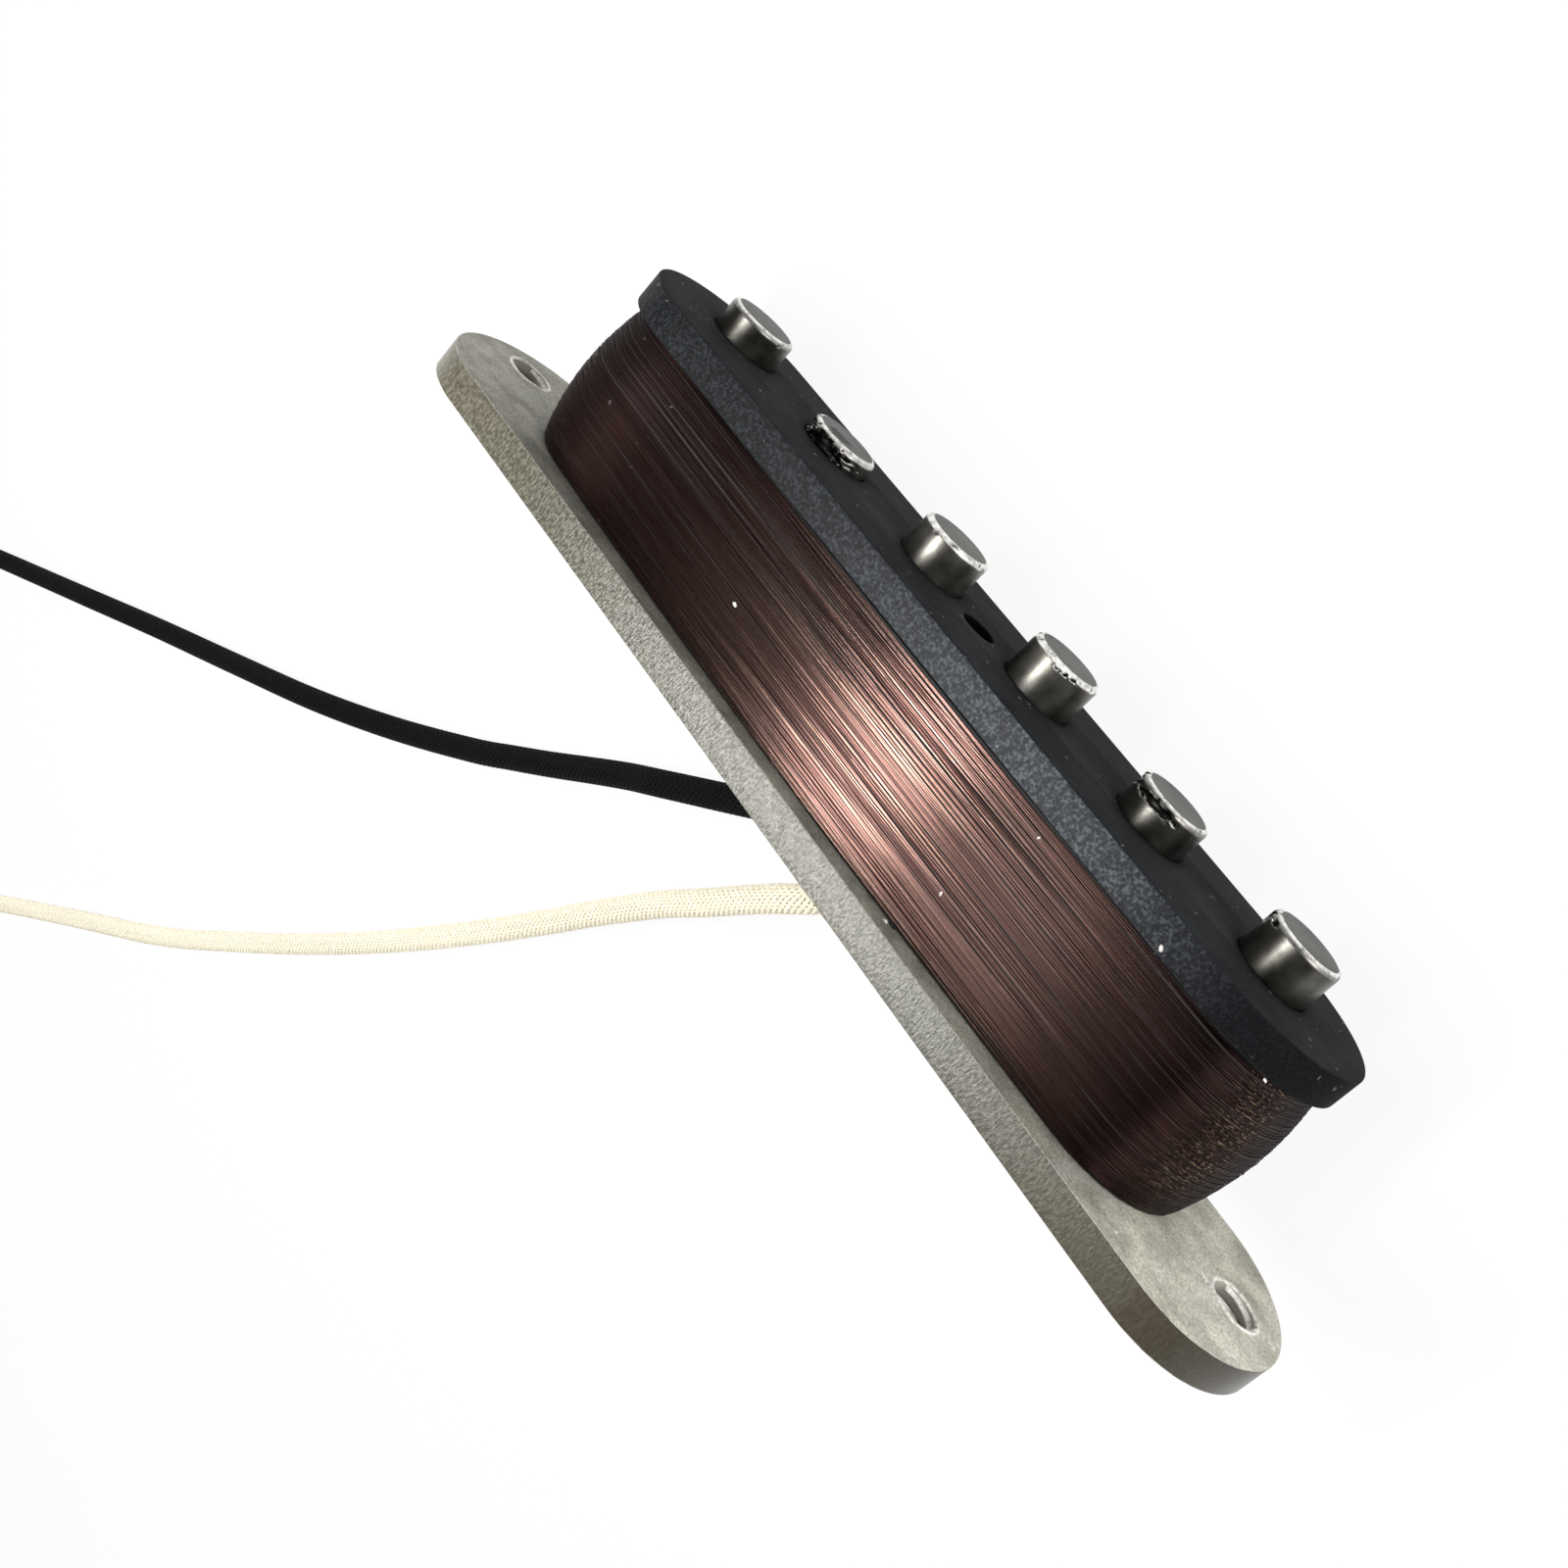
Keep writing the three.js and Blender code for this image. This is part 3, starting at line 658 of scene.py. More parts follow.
hair_way = add_node(
    dust_group, "ShaderNodeMapping",
    {"Vector": dust_frame, "Rotation": (0, 0, 0.7), "Scale": (1.0, 0.07, 0.4)},
)
hair_scale = add_math(dust_group, "MULTIPLY", dust_in.outputs["Scale"], 4.0)
hairs = add_noise(dust_group, hair_way.outputs[0], hair_scale)
hair_mask = add_math(dust_group, "GREATER_THAN", hairs, 0.76)
dust_hairs = add_math(dust_group, "MULTIPLY", hair_mask, 0.45)
dust_mask = add_math(dust_group, "MAXIMUM", dust_specks, dust_hairs)
link(dust_group, dust_mask, dust_out.inputs["Mask"])

black_fibre, tree, shader = new_material("black_vulcanised_fibre")
board = place_group(tree, fibre_group, {"Stroke Scale": 6000.0, "Mottle Scale": 420.0})
face_colour = add_ramp(
    tree, board.outputs["Mottle"], (0.3, (0.0075, 0.0085, 0.0095)), (0.7, (0.017, 0.019, 0.021)),
)
wall_colour = add_ramp(
    tree, board.outputs["Grain"],
    (0.38, (0.007, 0.008, 0.009)), (0.52, (0.019, 0.021, 0.024)), (0.64, (0.052, 0.057, 0.065)),
)
black_place = add_node(tree, "ShaderNodeSeparateXYZ", {"Vector": own_frame(tree)})
# The wall is painted lighter in the middle and darker towards the treble end: a painted sheen where
# the lamp's reflection falls.
painted_sheen_middle = add_range(tree, black_place.outputs["X"], -0.016, 0.012, 0.5, 1.6)
wall_colour = add_blend(tree, 1.0, wall_colour, painted_sheen_middle, "MULTIPLY")
# Towards the bass end the wall is painted near-black: painted shade, and there it gets no coat.
end_shade = add_range(tree, black_place.outputs["X"], 0.0155, 0.0285, 0.0, 0.93)
wall_colour = add_blend(tree, end_shade, wall_colour, (0.004, 0.004, 0.005))
past_edge = add_math(tree, "SUBTRACT", black_place.outputs["X"], first_pole - pole_pitch / 2)
pole_share = add_math(tree, "FRACT", add_math(tree, "DIVIDE", past_edge, pole_pitch))
from_pole = add_node(
    tree, "ShaderNodeCombineXYZ",
    {"X": add_math(tree, "MULTIPLY", add_math(tree, "SUBTRACT", pole_share, 0.5), pole_pitch),
     "Y": black_place.outputs["Y"]},
)
# Round each rod the face is painted darker: painted shade at the rods' feet.
foot_shade_width = 0.0009
pole_foot_shade = add_range(
    tree, add_vector_math(tree, "LENGTH", from_pole.outputs[0]),
    magnet_radius, magnet_radius + foot_shade_width, 0.15, 1.0,
)
face_colour = add_blend(tree, 1.0, face_colour, pole_foot_shade, "MULTIPLY")
colour = add_blend(tree, board.outputs["Wall"], face_colour, wall_colour)
dust = place_group(tree, dust_group, {"Scale": 2600.0, "Amount": 0.07})
colour = add_blend(tree, dust.outputs["Mask"], colour, (0.16, 0.165, 0.165))
# The wall of the centre hole is painted near-black: painted shade, and it gets no coat.
from_hole = add_node(
    tree, "ShaderNodeCombineXYZ",
    {"X": black_place.outputs["X"],
     "Y": add_math(tree, "SUBTRACT", black_place.outputs["Y"], centre_hole_across)},
)
in_hole = add_math(
    tree, "LESS_THAN", add_vector_math(tree, "LENGTH", from_hole.outputs[0]),
    centre_hole_radius + plate_bevel / 2,
)
colour = add_blend(tree, in_hole, colour, (0.001, 0.001, 0.001))
link(tree, colour, shader.inputs["Base Color"])
shader.inputs["Roughness"].default_value = 0.8
shader.inputs["Specular IOR Level"].default_value = 0.08
shader.inputs["Coat Roughness"].default_value = 0.4
unshaded_share = add_math(tree, "SUBTRACT", 1.0, end_shade)
shine = add_math(tree, "MULTIPLY", board.outputs["Wall"], unshaded_share)
shine = add_math(tree, "MULTIPLY", shine, add_math(tree, "SUBTRACT", 1.0, in_hole))
link(tree, add_math(tree, "MULTIPLY", shine, 0.18), shader.inputs["Coat Weight"])
add_bump(tree, shader, board.outputs["Grain"], 0.6, 0.00006)

round_radii = (top_half_width, top_half_width)
top_outline = [
    *arc((last_pole, 0), round_radii, -1 / 4, 1 / 4),
    *arc((first_pole, 0), round_radii, 1 / 4, 3 / 4),
]
top_holes = [*pole_holes(), round_hole(0, centre_hole_across, centre_hole_radius)]
new_piece(
    "top_plate",
    plate_mesh("top_plate", top_outline, top_holes, top_thickness, top_underside, top_bevel),
    black_fibre, "black_fibre", "top_flatwork",
)

# Coil: many thousands of turns of enamelled copper wire, a little over 0.06 mm thick, wound
# by hand-guided scatter, so the coil is fullest at its middle and its turns cross.
layer_gap = 0.00005
coil_floor = bottom_thickness + layer_gap
coil_ceiling = top_underside - layer_gap
coil_set_back = 0.00075
coil_foot_radius = top_half_width - coil_set_back
coil_barrel = 0.00075
coil_bow = 0.00075
wire_thickness = 0.00009
wire_turns = 118
wire_flatness = 0.3
turn_steps = 112
wire_sway = 0.00013
wire_lift = 0.00004
wire_roll = 0.64
bore_gap = 0.0001


def coil_radius(z):
    """How far the outside of the coil stands from the line of the end magnets at a height."""
    share = (z - coil_floor) / (coil_ceiling - coil_floor)
    return coil_foot_radius + coil_barrel * 4 * share * (1 - share)


def loop_point(turn, radius, bow):
    """A point on a loop round the row of magnets, at a share of a turn from the first pole."""
    half = 2 * last_pole + math.pi * radius
    along = (turn % 1) * 2 * half
    side = 1 if along < half else -1
    along %= half
    if along < 2 * last_pole:
        share = along / last_pole - 1
        return Vector((side * last_pole * share, side * (radius + bow * (1 - share * share)), 0))
    angle = (along - 2 * last_pole) / radius
    x = last_pole + radius * math.sin(angle)
    return Vector((side * x, side * radius * math.cos(angle), 0))


def coil_ring(radius, bow, z):
    """One whole loop round the row at a height."""
    height = Vector((0, 0, z))
    return [loop_point(step / turn_steps, radius, bow) + height for step in range(turn_steps)]


enamel, tree, shader = new_material("enamelled_copper")
wire_frame = own_frame(tree)
tone = add_node(tree, "ShaderNodeAttribute", attribute_name="tone").outputs["Fac"]
wire_place = add_node(tree, "ShaderNodeSeparateXYZ", {"Vector": wire_frame})
# On the bass end's round, golden glints are painted in a band where the lamp's reflection falls:
# painted highlight. Round the bass end the tone is also painted darker: painted shade.
past_pole = add_math(tree, "SUBTRACT", wire_place.outputs["X"], last_pole)
nearness = add_math(tree, "MULTIPLY", wire_place.outputs["Y"], -1.0)
round_end = add_math(tree, "ARCTAN2", past_pole, nearness)
painted_glint_band = add_math(
    tree, "MULTIPLY", add_range(tree, round_end, 0.5, 0.85),
    add_range(tree, round_end, 0.95, 1.3, 1.0, 0.0),
)
painted_glint_band = add_math(tree, "MULTIPLY", painted_glint_band, add_range(tree, wire_place.outputs["Z"], 0.003, 0.006))
glint_stretch = add_vector_math(tree, "MULTIPLY", wire_frame, (1.0, 1.0, 2.6))
glint_streaks = add_noise(tree, glint_stretch, 3600.0, 3.0)
glint = add_math(tree, "MULTIPLY", add_range(tree, glint_streaks, 0.46, 0.72, 0.0, 0.5), painted_glint_band)
round_end_shade = add_range(tree, round_end, 0.0, 0.45, 1.0, 0.3)
colour = add_ramp(
    tree, add_math(tree, "MULTIPLY", tone, round_end_shade),
    (0.0, (0.012, 0.006, 0.006)), (0.25, (0.07, 0.036, 0.031)), (0.55, (0.15, 0.088, 0.074)),
    (1.0, (0.29, 0.192, 0.153)),
)
colour = add_blend(tree, glint, colour, (0.5, 0.34, 0.24))
dust = place_group(tree, dust_group, {"Scale": 2400.0, "Amount": 0.05})
treble_dust = add_range(tree, wire_place.outputs["X"], -0.026, -0.016, 0.9, 0.0)
treble_dust = add_math(tree, "MULTIPLY", dust.outputs["Mask"], treble_dust)
colour = add_blend(tree, treble_dust, colour, (0.3, 0.29, 0.27))
link(tree, colour, shader.inputs["Base Color"])
link(tree, add_math(tree, "SUBTRACT", 1.0, treble_dust), shader.inputs["Metallic"])
roughness = add_math(
    tree, "MAXIMUM", add_range(tree, round_end, 0.9, 1.5, 0.18, 0.65),
    add_range(tree, wire_place.outputs["X"], -0.029, -0.02, 0.6, 0.18),
)
link(tree, roughness, shader.inputs["Roughness"])

packed_wire, tree, shader = new_material("packed_copper_in_shade")
shader.inputs["Base Color"].default_value = (0.012, 0.007, 0.006, 1)
shader.inputs["Roughness"].default_value = 0.6

core_layers = 24
rings = []
for layer in range(core_layers + 1):
    z = coil_floor + (coil_ceiling - coil_floor) * layer / core_layers
    rings.append(coil_ring(coil_radius(z) - wire_thickness, coil_bow, z))
rings.append(coil_ring(magnet_radius + bore_gap, 0, coil_ceiling))
rings.append(coil_ring(magnet_radius + bore_gap, 0, coil_floor))
mesh = skin_mesh("inner_layers", rings, True)
smooth_by_angle(mesh, 40)
new_piece("inner_layers", mesh, packed_wire, "coil_wire", "coil_core")


def geometry_tree(name, inputs):
    """A geometry tree with named inputs, from its source mesh to the mesh that it makes."""
    made = bpy.data.node_groups.new(name, "GeometryNodeTree")
    made.interface.new_socket(name="Geometry", in_out="INPUT", socket_type="NodeSocketGeometry")
    for label, kind in inputs:
        made.interface.new_socket(name=label, in_out="INPUT", socket_type=kind)
    made.interface.new_socket(name="Geometry", in_out="OUTPUT", socket_type="NodeSocketGeometry")
    return made, made.nodes.new("NodeGroupInput").outputs, made.nodes.new("NodeGroupOutput")


def grown_mesh(name, points, tree, marks=None, **values):
    """The plain mesh that a geometry tree makes from a line of points, which may carry marks."""
    line = bpy.data.meshes.new(name)
    line.from_pydata(points, [(index, index + 1) for index in range(len(points) - 1)], [])
    for label, numbers in (marks or {}).items():
        line.attributes.new(label, "FLOAT", "POINT").data.foreach_set("value", numbers)
    source = bpy.data.objects.new(name, line)
    bpy.context.scene.collection.objects.link(source)
    grow = source.modifiers.new("grow", "NODES")
    grow.node_group = tree
    for item in tree.interface.items_tree:
        if item.in_out == "INPUT" and item.name in values:
            grow[item.identifier] = values[item.name]
    mesh = evaluated_mesh(source)
    bpy.data.objects.remove(source)
    bpy.data.meshes.remove(line)
    mesh.name = name
    return mesh


wire_points = []
wire_tones = []
wire_rolls = []
winding_floor = coil_floor + wire_thickness
winding_rise = coil_ceiling - coil_floor - 2 * wire_thickness
for step in range(wire_turns * turn_steps + 1):
    turn = step / turn_steps
    around = Vector((math.cos(2 * math.pi * turn), math.sin(2 * math.pi * turn), 0))
    z = winding_floor + winding_rise * turn / wire_turns
    sway = noise.noise(around * 1.2 + Vector((0, 0, turn * 1.7))) * wire_sway
    z = min(max(z + sway, winding_floor), winding_floor + winding_rise)
    lift = noise.noise(around * 6 + Vector((0, 0, turn * 1.3 + 40))) * wire_lift
    radius = coil_radius(z) - wire_thickness * wire_flatness / 2 + lift
    point = loop_point(turn + 1 / 4, radius, coil_bow)
    wire_points.append(point + Vector((0, 0, z)))
    fine_tone = noise.noise(around * 1.1 + Vector((0, 0, turn * 0.93 + 80)))
    broad_tone = noise.noise(around * 0.8 + Vector((0, 0, turn * 0.21 + 120)))
    tone = 0.5 + fine_tone * 0.6 + broad_tone * 0.3
    # The tone is darkened towards both ends of the coil, and evened out and set darker from the
    # middle to the bass end: painted shade.
    treble_shade = min(max((-point.x - 0.004) / 0.012, 0), 1)
    tone += (0.2 - tone) * 0.8 * treble_shade
    treble_tip_shade = min(max((-point.x - 0.023) / 0.004, 0), 1)
    bass_calm = min(max((point.x - 0.009) / 0.008, 0), 1)
    tone += (0.44 - tone) * 0.6 * bass_calm
    bass_shade = min(max((point.x - 0.018) / 0.013, 0), 1)
    tone *= (1 - 0.75 * treble_tip_shade) * (1 - 0.62 * bass_shade)
    wire_tones.append(min(max(tone, 0), 1))
    roll = wire_roll * noise.noise(around * 0.9 + Vector((0, 0, turn * 0.87 + 200)))
    wire_rolls.append(roll * (1 - 0.85 * treble_shade) * (1 - 0.6 * bass_calm))

wire_tree, given, made = geometry_tree(
    "wire_along_line",
    [("Radius", "NodeSocketFloat"), ("Flatness", "NodeSocketFloat"), ("Sides", "NodeSocketInt"),
     ("Material", "NodeSocketMaterial")],
)
line = add_node(wire_tree, "GeometryNodeMeshToCurve", {"Mesh": given["Geometry"]})
upright = add_node(wire_tree, "GeometryNodeSetCurveNormal", {"Curve": line.outputs[0]}, mode="Z_UP")
roll = add_node(
    wire_tree, "GeometryNodeInputNamedAttribute", {"Name": "roll"}, data_type="FLOAT",
).outputs[0]
rolled = add_node(
    wire_tree, "GeometryNodeSetCurveTilt", {"Curve": upright.outputs[0], "Tilt": roll},
)
circle = add_node(
    wire_tree, "GeometryNodeCurvePrimitiveCircle",
    {"Resolution": given["Sides"], "Radius": given["Radius"]},
)
flat_scale = add_node(
    wire_tree, "ShaderNodeCombineXYZ", {"X": given["Flatness"], "Y": 1.0, "Z": 1.0},
)
section = add_node(
    wire_tree, "GeometryNodeTransform",
    {"Geometry": circle.outputs[0], "Scale": flat_scale.outputs[0]},
)
drawn = add_node(
    wire_tree, "GeometryNodeCurveToMesh",
    {"Curve": rolled.outputs[0], "Profile Curve": section.outputs[0], "Fill Caps": True},
)
smooth = add_node(wire_tree, "GeometryNodeSetShadeSmooth", {"Geometry": drawn.outputs[0]})
real = add_node(wire_tree, "GeometryNodeRealizeInstances", {"Geometry": smooth.outputs[0]})
dressed = add_node(
    wire_tree, "GeometryNodeSetMaterial",
    {"Geometry": real.outputs[0], "Material": given["Material"]},
)
link(wire_tree, dressed.outputs[0], made.inputs["Geometry"])
mesh = grown_mesh(
    "outer_turns", wire_points, wire_tree, {"tone": wire_tones, "roll": wire_rolls},
    Radius=wire_thickness / 2, Flatness=wire_flatness, Sides=6, Material=enamel,
)
mesh.transform(lie)
new_piece("outer_turns", mesh, enamel, "coil_wire", "coil_winding")

# Eyelets: two small brass tubes rolled over on both faces of the bottom flatwork. Each takes
# one end of the coil's wire and the bare end of a lead, and is filled with solder.
eyelet_wall = 0.00025
eyelet_bore = eyelet_hole_radius - press_gap - eyelet_wall
flange_radius = 0.00145
flange_thickness = 0.00025
solder_gap = 0.00006
solder_height = 0.0009
solder_sink = 0.0003
conductor_radius = 0.0004
eyelet_segments = 48
roll_steps = 6
drop_steps = 8

brass, tree, shader = new_material("eyelet_brass")
tarnish = add_noise(tree, own_frame(tree), 900.0, 4.0)
colour = add_ramp(tree, tarnish, (0.35, (0.32, 0.2, 0.09)), (0.6, (0.66, 0.48, 0.2)))
link(tree, colour, shader.inputs["Base Color"])
shader.inputs["Metallic"].default_value = 1.0
shader.inputs["Roughness"].default_value = 0.38

solder, tree, shader = new_material("solder")
cloud = add_noise(tree, own_frame(tree), 1400.0, 4.0)
colour = add_ramp(tree, cloud, (0.35, (0.36, 0.36, 0.36)), (0.65, (0.66, 0.66, 0.65)))
link(tree, colour, shader.inputs["Base Color"])
shader.inputs["Metallic"].default_value = 1.0
shader.inputs["Roughness"].default_value = 0.32
add_bump(tree, shader, cloud, 0.3, 0.00005)


def turned_mesh(name, profile, segments, place, wobble=None):
    """A turned shape from (radius, height) corners, which wobble may move."""
    shape = bmesh.new()
    rings = []
    for radius, height in profile:
        if radius == 0:
            rings.append([shape.verts.new((place[0], place[1], height))])
            continue
        ring = []
        for segment in range(segments):
            angle = 2 * math.pi * segment / segments
            r, h = wobble(angle, radius, height) if wobble else (radius, height)
            ring.append(shape.verts.new((
                place[0] + r * math.cos(angle), place[1] + r * math.sin(angle), h,
            )))
        rings.append(ring)
    closed = rings[0] if len(rings[0]) > 1 and len(rings[-1]) > 1 else None
    for low, high in zip(rings, [*rings[1:], closed] if closed else rings[1:]):
        for segment in range(segments):
            after = (segment + 1) % segments
            corners = [low[segment % len(low)], low[after % len(low)],
                       high[after % len(high)], high[segment % len(high)]]
            kept = [c for index, c in enumerate(corners) if c not in corners[:index]]
            if len(kept) > 2:
                shape.faces.new(kept)
    bmesh.ops.recalc_face_normals(shape, faces=shape.faces)
    mesh = bpy.data.meshes.new(name)
    shape.to_mesh(mesh)
    shape.free()
    mesh.transform(lie)
    return mesh


for side, label in ((-1, "black"), (1, "white")):
    place = (eyelet_place(side), eyelet_across)
    shank = eyelet_hole_radius - press_gap
    low = -press_gap - flange_thickness
    high = bottom_thickness + press_gap + flange_thickness
    roll = flange_thickness / 2
    low_roll = []
    high_roll = []
    for step in range(roll_steps + 1):
        angle = math.pi * step / roll_steps - math.pi / 2
        out = flange_radius - roll + roll * math.cos(angle)
        low_roll.append((out, low + roll + roll * math.sin(angle)))
        high_roll.append((out, high - roll + roll * math.sin(angle)))
    profile = [
        (eyelet_bore, low + roll), (eyelet_bore + roll, low), *low_roll,
        (shank, low + flange_thickness), (shank, high - flange_thickness), *high_roll,
        (eyelet_bore + roll, high), (eyelet_bore, high - roll),
    ]
    mesh = turned_mesh(f"{label}_eyelet_tube", profile, eyelet_segments, place)
    smooth_by_angle(mesh, 50)
    new_piece(f"{label}_eyelet_tube", mesh, brass, "eyelet_brass", f"{label}_eyelet")

    inner = conductor_radius + solder_gap
    bore = eyelet_bore - solder_gap
    rim_radius = flange_radius - solder_gap
    base = low - solder_gap

    def lumpy(angle, radius, height, side=side, base=base):
        """Makes the cooled drop a little uneven, below the eyelet."""
        if height >= base:
            return radius, height
        place = Vector((math.cos(angle) * 1.3, math.sin(angle) * 1.3, height * 2000 + side * 5))
        swell = 1 + 0.07 * noise.noise(place)
        return radius * swell, base + (height - base) * swell

    profile = [(inner, base - solder_height)]
    for step in range(1, drop_steps):
        share = step / drop_steps
        fall = solder_height * (1 - share ** 1.8)
        profile.append((inner + (rim_radius - inner) * share, base - fall))
    profile += [
        (rim_radius, base - solder_height / 10), (rim_radius, base), (bore, base),
        (bore, bottom_thickness - solder_sink), (inner, bottom_thickness - solder_sink),
    ]
    mesh = turned_mesh(f"{label}_solder_drop", profile, eyelet_segments, place, lumpy)
    smooth_by_angle(mesh, 50)
    new_piece(f"{label}_solder_drop", mesh, solder, "solder", f"{label}_solder")

# Leads: stranded tinned copper in waxed cotton, braided cream for hot and black for ground.
# Each leaves its eyelet on the underside and comes down on to the surface. The length past
# the picture's edge is wound into a neat coil, held by a band, with its end stripped.
lead_diameter = 0.0022
joint_gap = 0.0003
coil_turn_pitch = 0.00275
coil_mid_radius = 0.0121
coil_turn_steps = 48
route_steps = 6
tail_draw = 0.0044
bare_length = 0.006
black_turns = 1.81
white_turns = 1.54
braid_radius = 0.001045
braid_core = 0.00103
braid_turn_length = 0.0075
braid_step = 0.00031
yarn_count = 12
yarn_width = 0.00044
yarn_thickness = 0.00009
yarn_wave = 0.000006
strand_count = 6
strand_ring = 0.00025
strand_thickness = 0.00026
strand_core = 0.00013
black_route = [
    (-0.005, -0.01165, 0.00326), (-0.005, -0.01255, 0.00354), (-0.00513, -0.01373, 0.00386),
    (-0.00553, -0.01488, 0.00407), (-0.00616, -0.01594, 0.00417), (-0.00699, -0.01684, 0.00415),
    (-0.01446, -0.0234, 0.0035), (-0.01839, -0.02707, 0.0026), (-0.02233, -0.03095, 0.0018),
    (-0.02628, -0.0348, 0.0013), (-0.03034, -0.0385, 0.00115), (-0.03453, -0.04217, 0.00115),
    (-0.04381, -0.04948, 0.00115), (-0.05449, -0.05705, 0.00115), (-0.06679, -0.06488, 0.00115),
    (-0.08061, -0.07355, 0.00115), (-0.09603, -0.0835, 0.00115), (-0.11353, -0.09478, 0.00115),
    (-0.123, -0.10087, 0.00135), (-0.128, -0.10408, 0.0016), (-0.132, -0.10665, 0.0016),
]
white_route = [
    (0.0025, -0.01165, 0.00326), (0.0025, -0.0135, 0.00385), (0.00228, -0.0153, 0.00435),
    (0.0015, -0.01695, 0.00466), (0.00025, -0.0185, 0.00475), (-0.0013, -0.0205, 0.00455),
    (-0.00305, -0.02295, 0.00415), (-0.00595, -0.02715, 0.0035), (-0.00893, -0.0313, 0.0027),
    (-0.01206, -0.0361, 0.0019), (-0.01511, -0.0409, 0.0014), (-0.01805, -0.04572, 0.00115),
    (-0.02432, -0.05547, 0.00115), (-0.03156, -0.06606, 0.00115), (-0.04001, -0.07754, 0.00115),
    (-0.04987, -0.09004, 0.00115), (-0.06134, -0.10385, 0.00115), (-0.07522, -0.11844, 0.00115),
    (-0.09113, -0.13536, 0.00115), (-0.099, -0.1437, 0.00135), (-0.1035, -0.14847, 0.0016),
    (-0.107, -0.15218, 0.0016),
]


def smooth_line(points, steps):
    """Points along a smooth line through the given ones."""
    marks = [Vector(point) for point in points]
    held = [2 * marks[0] - marks[1], *marks, 2 * marks[-1] - marks[-2]]
    fine = []
    for before, start, end, after in zip(held, held[1:], held[2:], held[3:]):
        for step in range(steps):
            t = step / steps
            fine.append(0.5 * (
                2 * start + (end - before) * t
                + (2 * before - 5 * start + 4 * end - after) * t ** 2
                + (3 * start - before - 3 * end + after) * t ** 3
            ))
    return [*fine, marks[-1]]


def put_away(route, turns):
    """The coil of the unseen length: its points, middle, outer radius and first angle."""
    last = Vector(route[-1])
    heading = last - Vector(route[-2])
    heading.z = 0
    heading.normalize()
    outer = coil_mid_radius + coil_turn_pitch * turns / 2
    bend = last + heading * (joint_gap + lead_diameter)
    centre = bend + Vector((heading.y, -heading.x, 0)) * outer
    first_angle = math.atan2(bend.y - centre.y, bend.x - centre.x)
    steps = round(turns * coil_turn_steps)
    points = []
    for step in range(steps + 1):
        turned = turns * step / steps
        tail = max(turned - turns + 1 / 4, 0) * 4
        radius = outer - coil_turn_pitch * turned - tail_draw * tail ** 2
        angle = first_angle - 2 * math.pi * turned
        points.append(centre + radius * Vector((math.cos(angle), math.sin(angle), 0)))
    way = (points[-1] - points[-2]).normalized()
    points.append(points[-1] + way * lead_diameter)
    return points, centre, outer, first_angle, way


strand_tree, given, made = geometry_tree(
    "strands_round_line",
    [("Radius", "NodeSocketFloat"), ("Strands", "NodeSocketInt"), ("Ways", "NodeSocketInt"),
     ("Turn Length", "NodeSocketFloat"), ("Step", "NodeSocketFloat"), ("Width", "NodeSocketFloat"),
     ("Thickness", "NodeSocketFloat"), ("Wave", "NodeSocketFloat"), ("Sides", "NodeSocketInt"),
     ("Core Radius", "NodeSocketFloat"), ("Material", "NodeSocketMaterial")],
)
line = add_node(strand_tree, "GeometryNodeMeshToCurve", {"Mesh": given["Geometry"]})
fine = add_node(
    strand_tree, "GeometryNodeResampleCurve",
    {"Curve": line.outputs[0], "Length": given["Step"]}, mode="LENGTH",
)
total = add_math(strand_tree, "MULTIPLY", given["Strands"], given["Ways"])
copies = add_node(
    strand_tree, "GeometryNodeDuplicateElements",
    {"Geometry": fine.outputs[0], "Amount": total}, domain="SPLINE",
)
index = copies.outputs["Duplicate Index"]
way = add_math(strand_tree, "MODULO", index, given["Ways"])
hand = add_math(strand_tree, "MULTIPLY_ADD", way, -2.0, 1.0)
strand = add_math(strand_tree, "FLOOR", add_math(strand_tree, "DIVIDE", index, given["Ways"]))
length = strand_tree.nodes.new("GeometryNodeSplineParameter").outputs["Length"]
turns_done = add_math(strand_tree, "DIVIDE", length, given["Turn Length"])
own_start = add_math(strand_tree, "DIVIDE", strand, given["Strands"])
own_turn = add_math(strand_tree, "MULTIPLY_ADD", turns_done, hand, own_start)
angle = add_math(strand_tree, "MULTIPLY", own_turn, 2 * math.pi)
crossing = add_math(
    strand_tree, "MULTIPLY", add_math(strand_tree, "MULTIPLY", turns_done, given["Strands"]), 2.0,
)
strand_shift = add_math(strand_tree, "MULTIPLY", strand, 2.0)
beat = add_math(strand_tree, "MULTIPLY_ADD", crossing, hand, strand_shift)
beat = add_math(strand_tree, "MULTIPLY_ADD", beat, math.pi / 2, -math.pi / 4)
over_under = add_math(strand_tree, "MULTIPLY", add_math(strand_tree, "COSINE", beat), hand)
wave = add_math(strand_tree, "MULTIPLY", over_under, given["Wave"])
reach = add_math(strand_tree, "ADD", given["Radius"], wave)
across = strand_tree.nodes.new("GeometryNodeInputNormal").outputs[0]
tangent = strand_tree.nodes.new("GeometryNodeInputTangent").outputs[0]
binormal = add_vector_math(strand_tree, "CROSS_PRODUCT", tangent, across)
cosine_part = add_node(
    strand_tree, "ShaderNodeVectorMath",
    {0: across, "Scale": add_math(strand_tree, "COSINE", angle)}, operation="SCALE",
)
sine_part = add_node(
    strand_tree, "ShaderNodeVectorMath",
    {0: binormal, "Scale": add_math(strand_tree, "SINE", angle)}, operation="SCALE",
)
outward = add_vector_math(strand_tree, "ADD", cosine_part.outputs[0], sine_part.outputs[0])
kept = strand_tree.nodes.new("GeometryNodeCaptureAttribute")
kept.capture_items.new("VECTOR", "Outward")
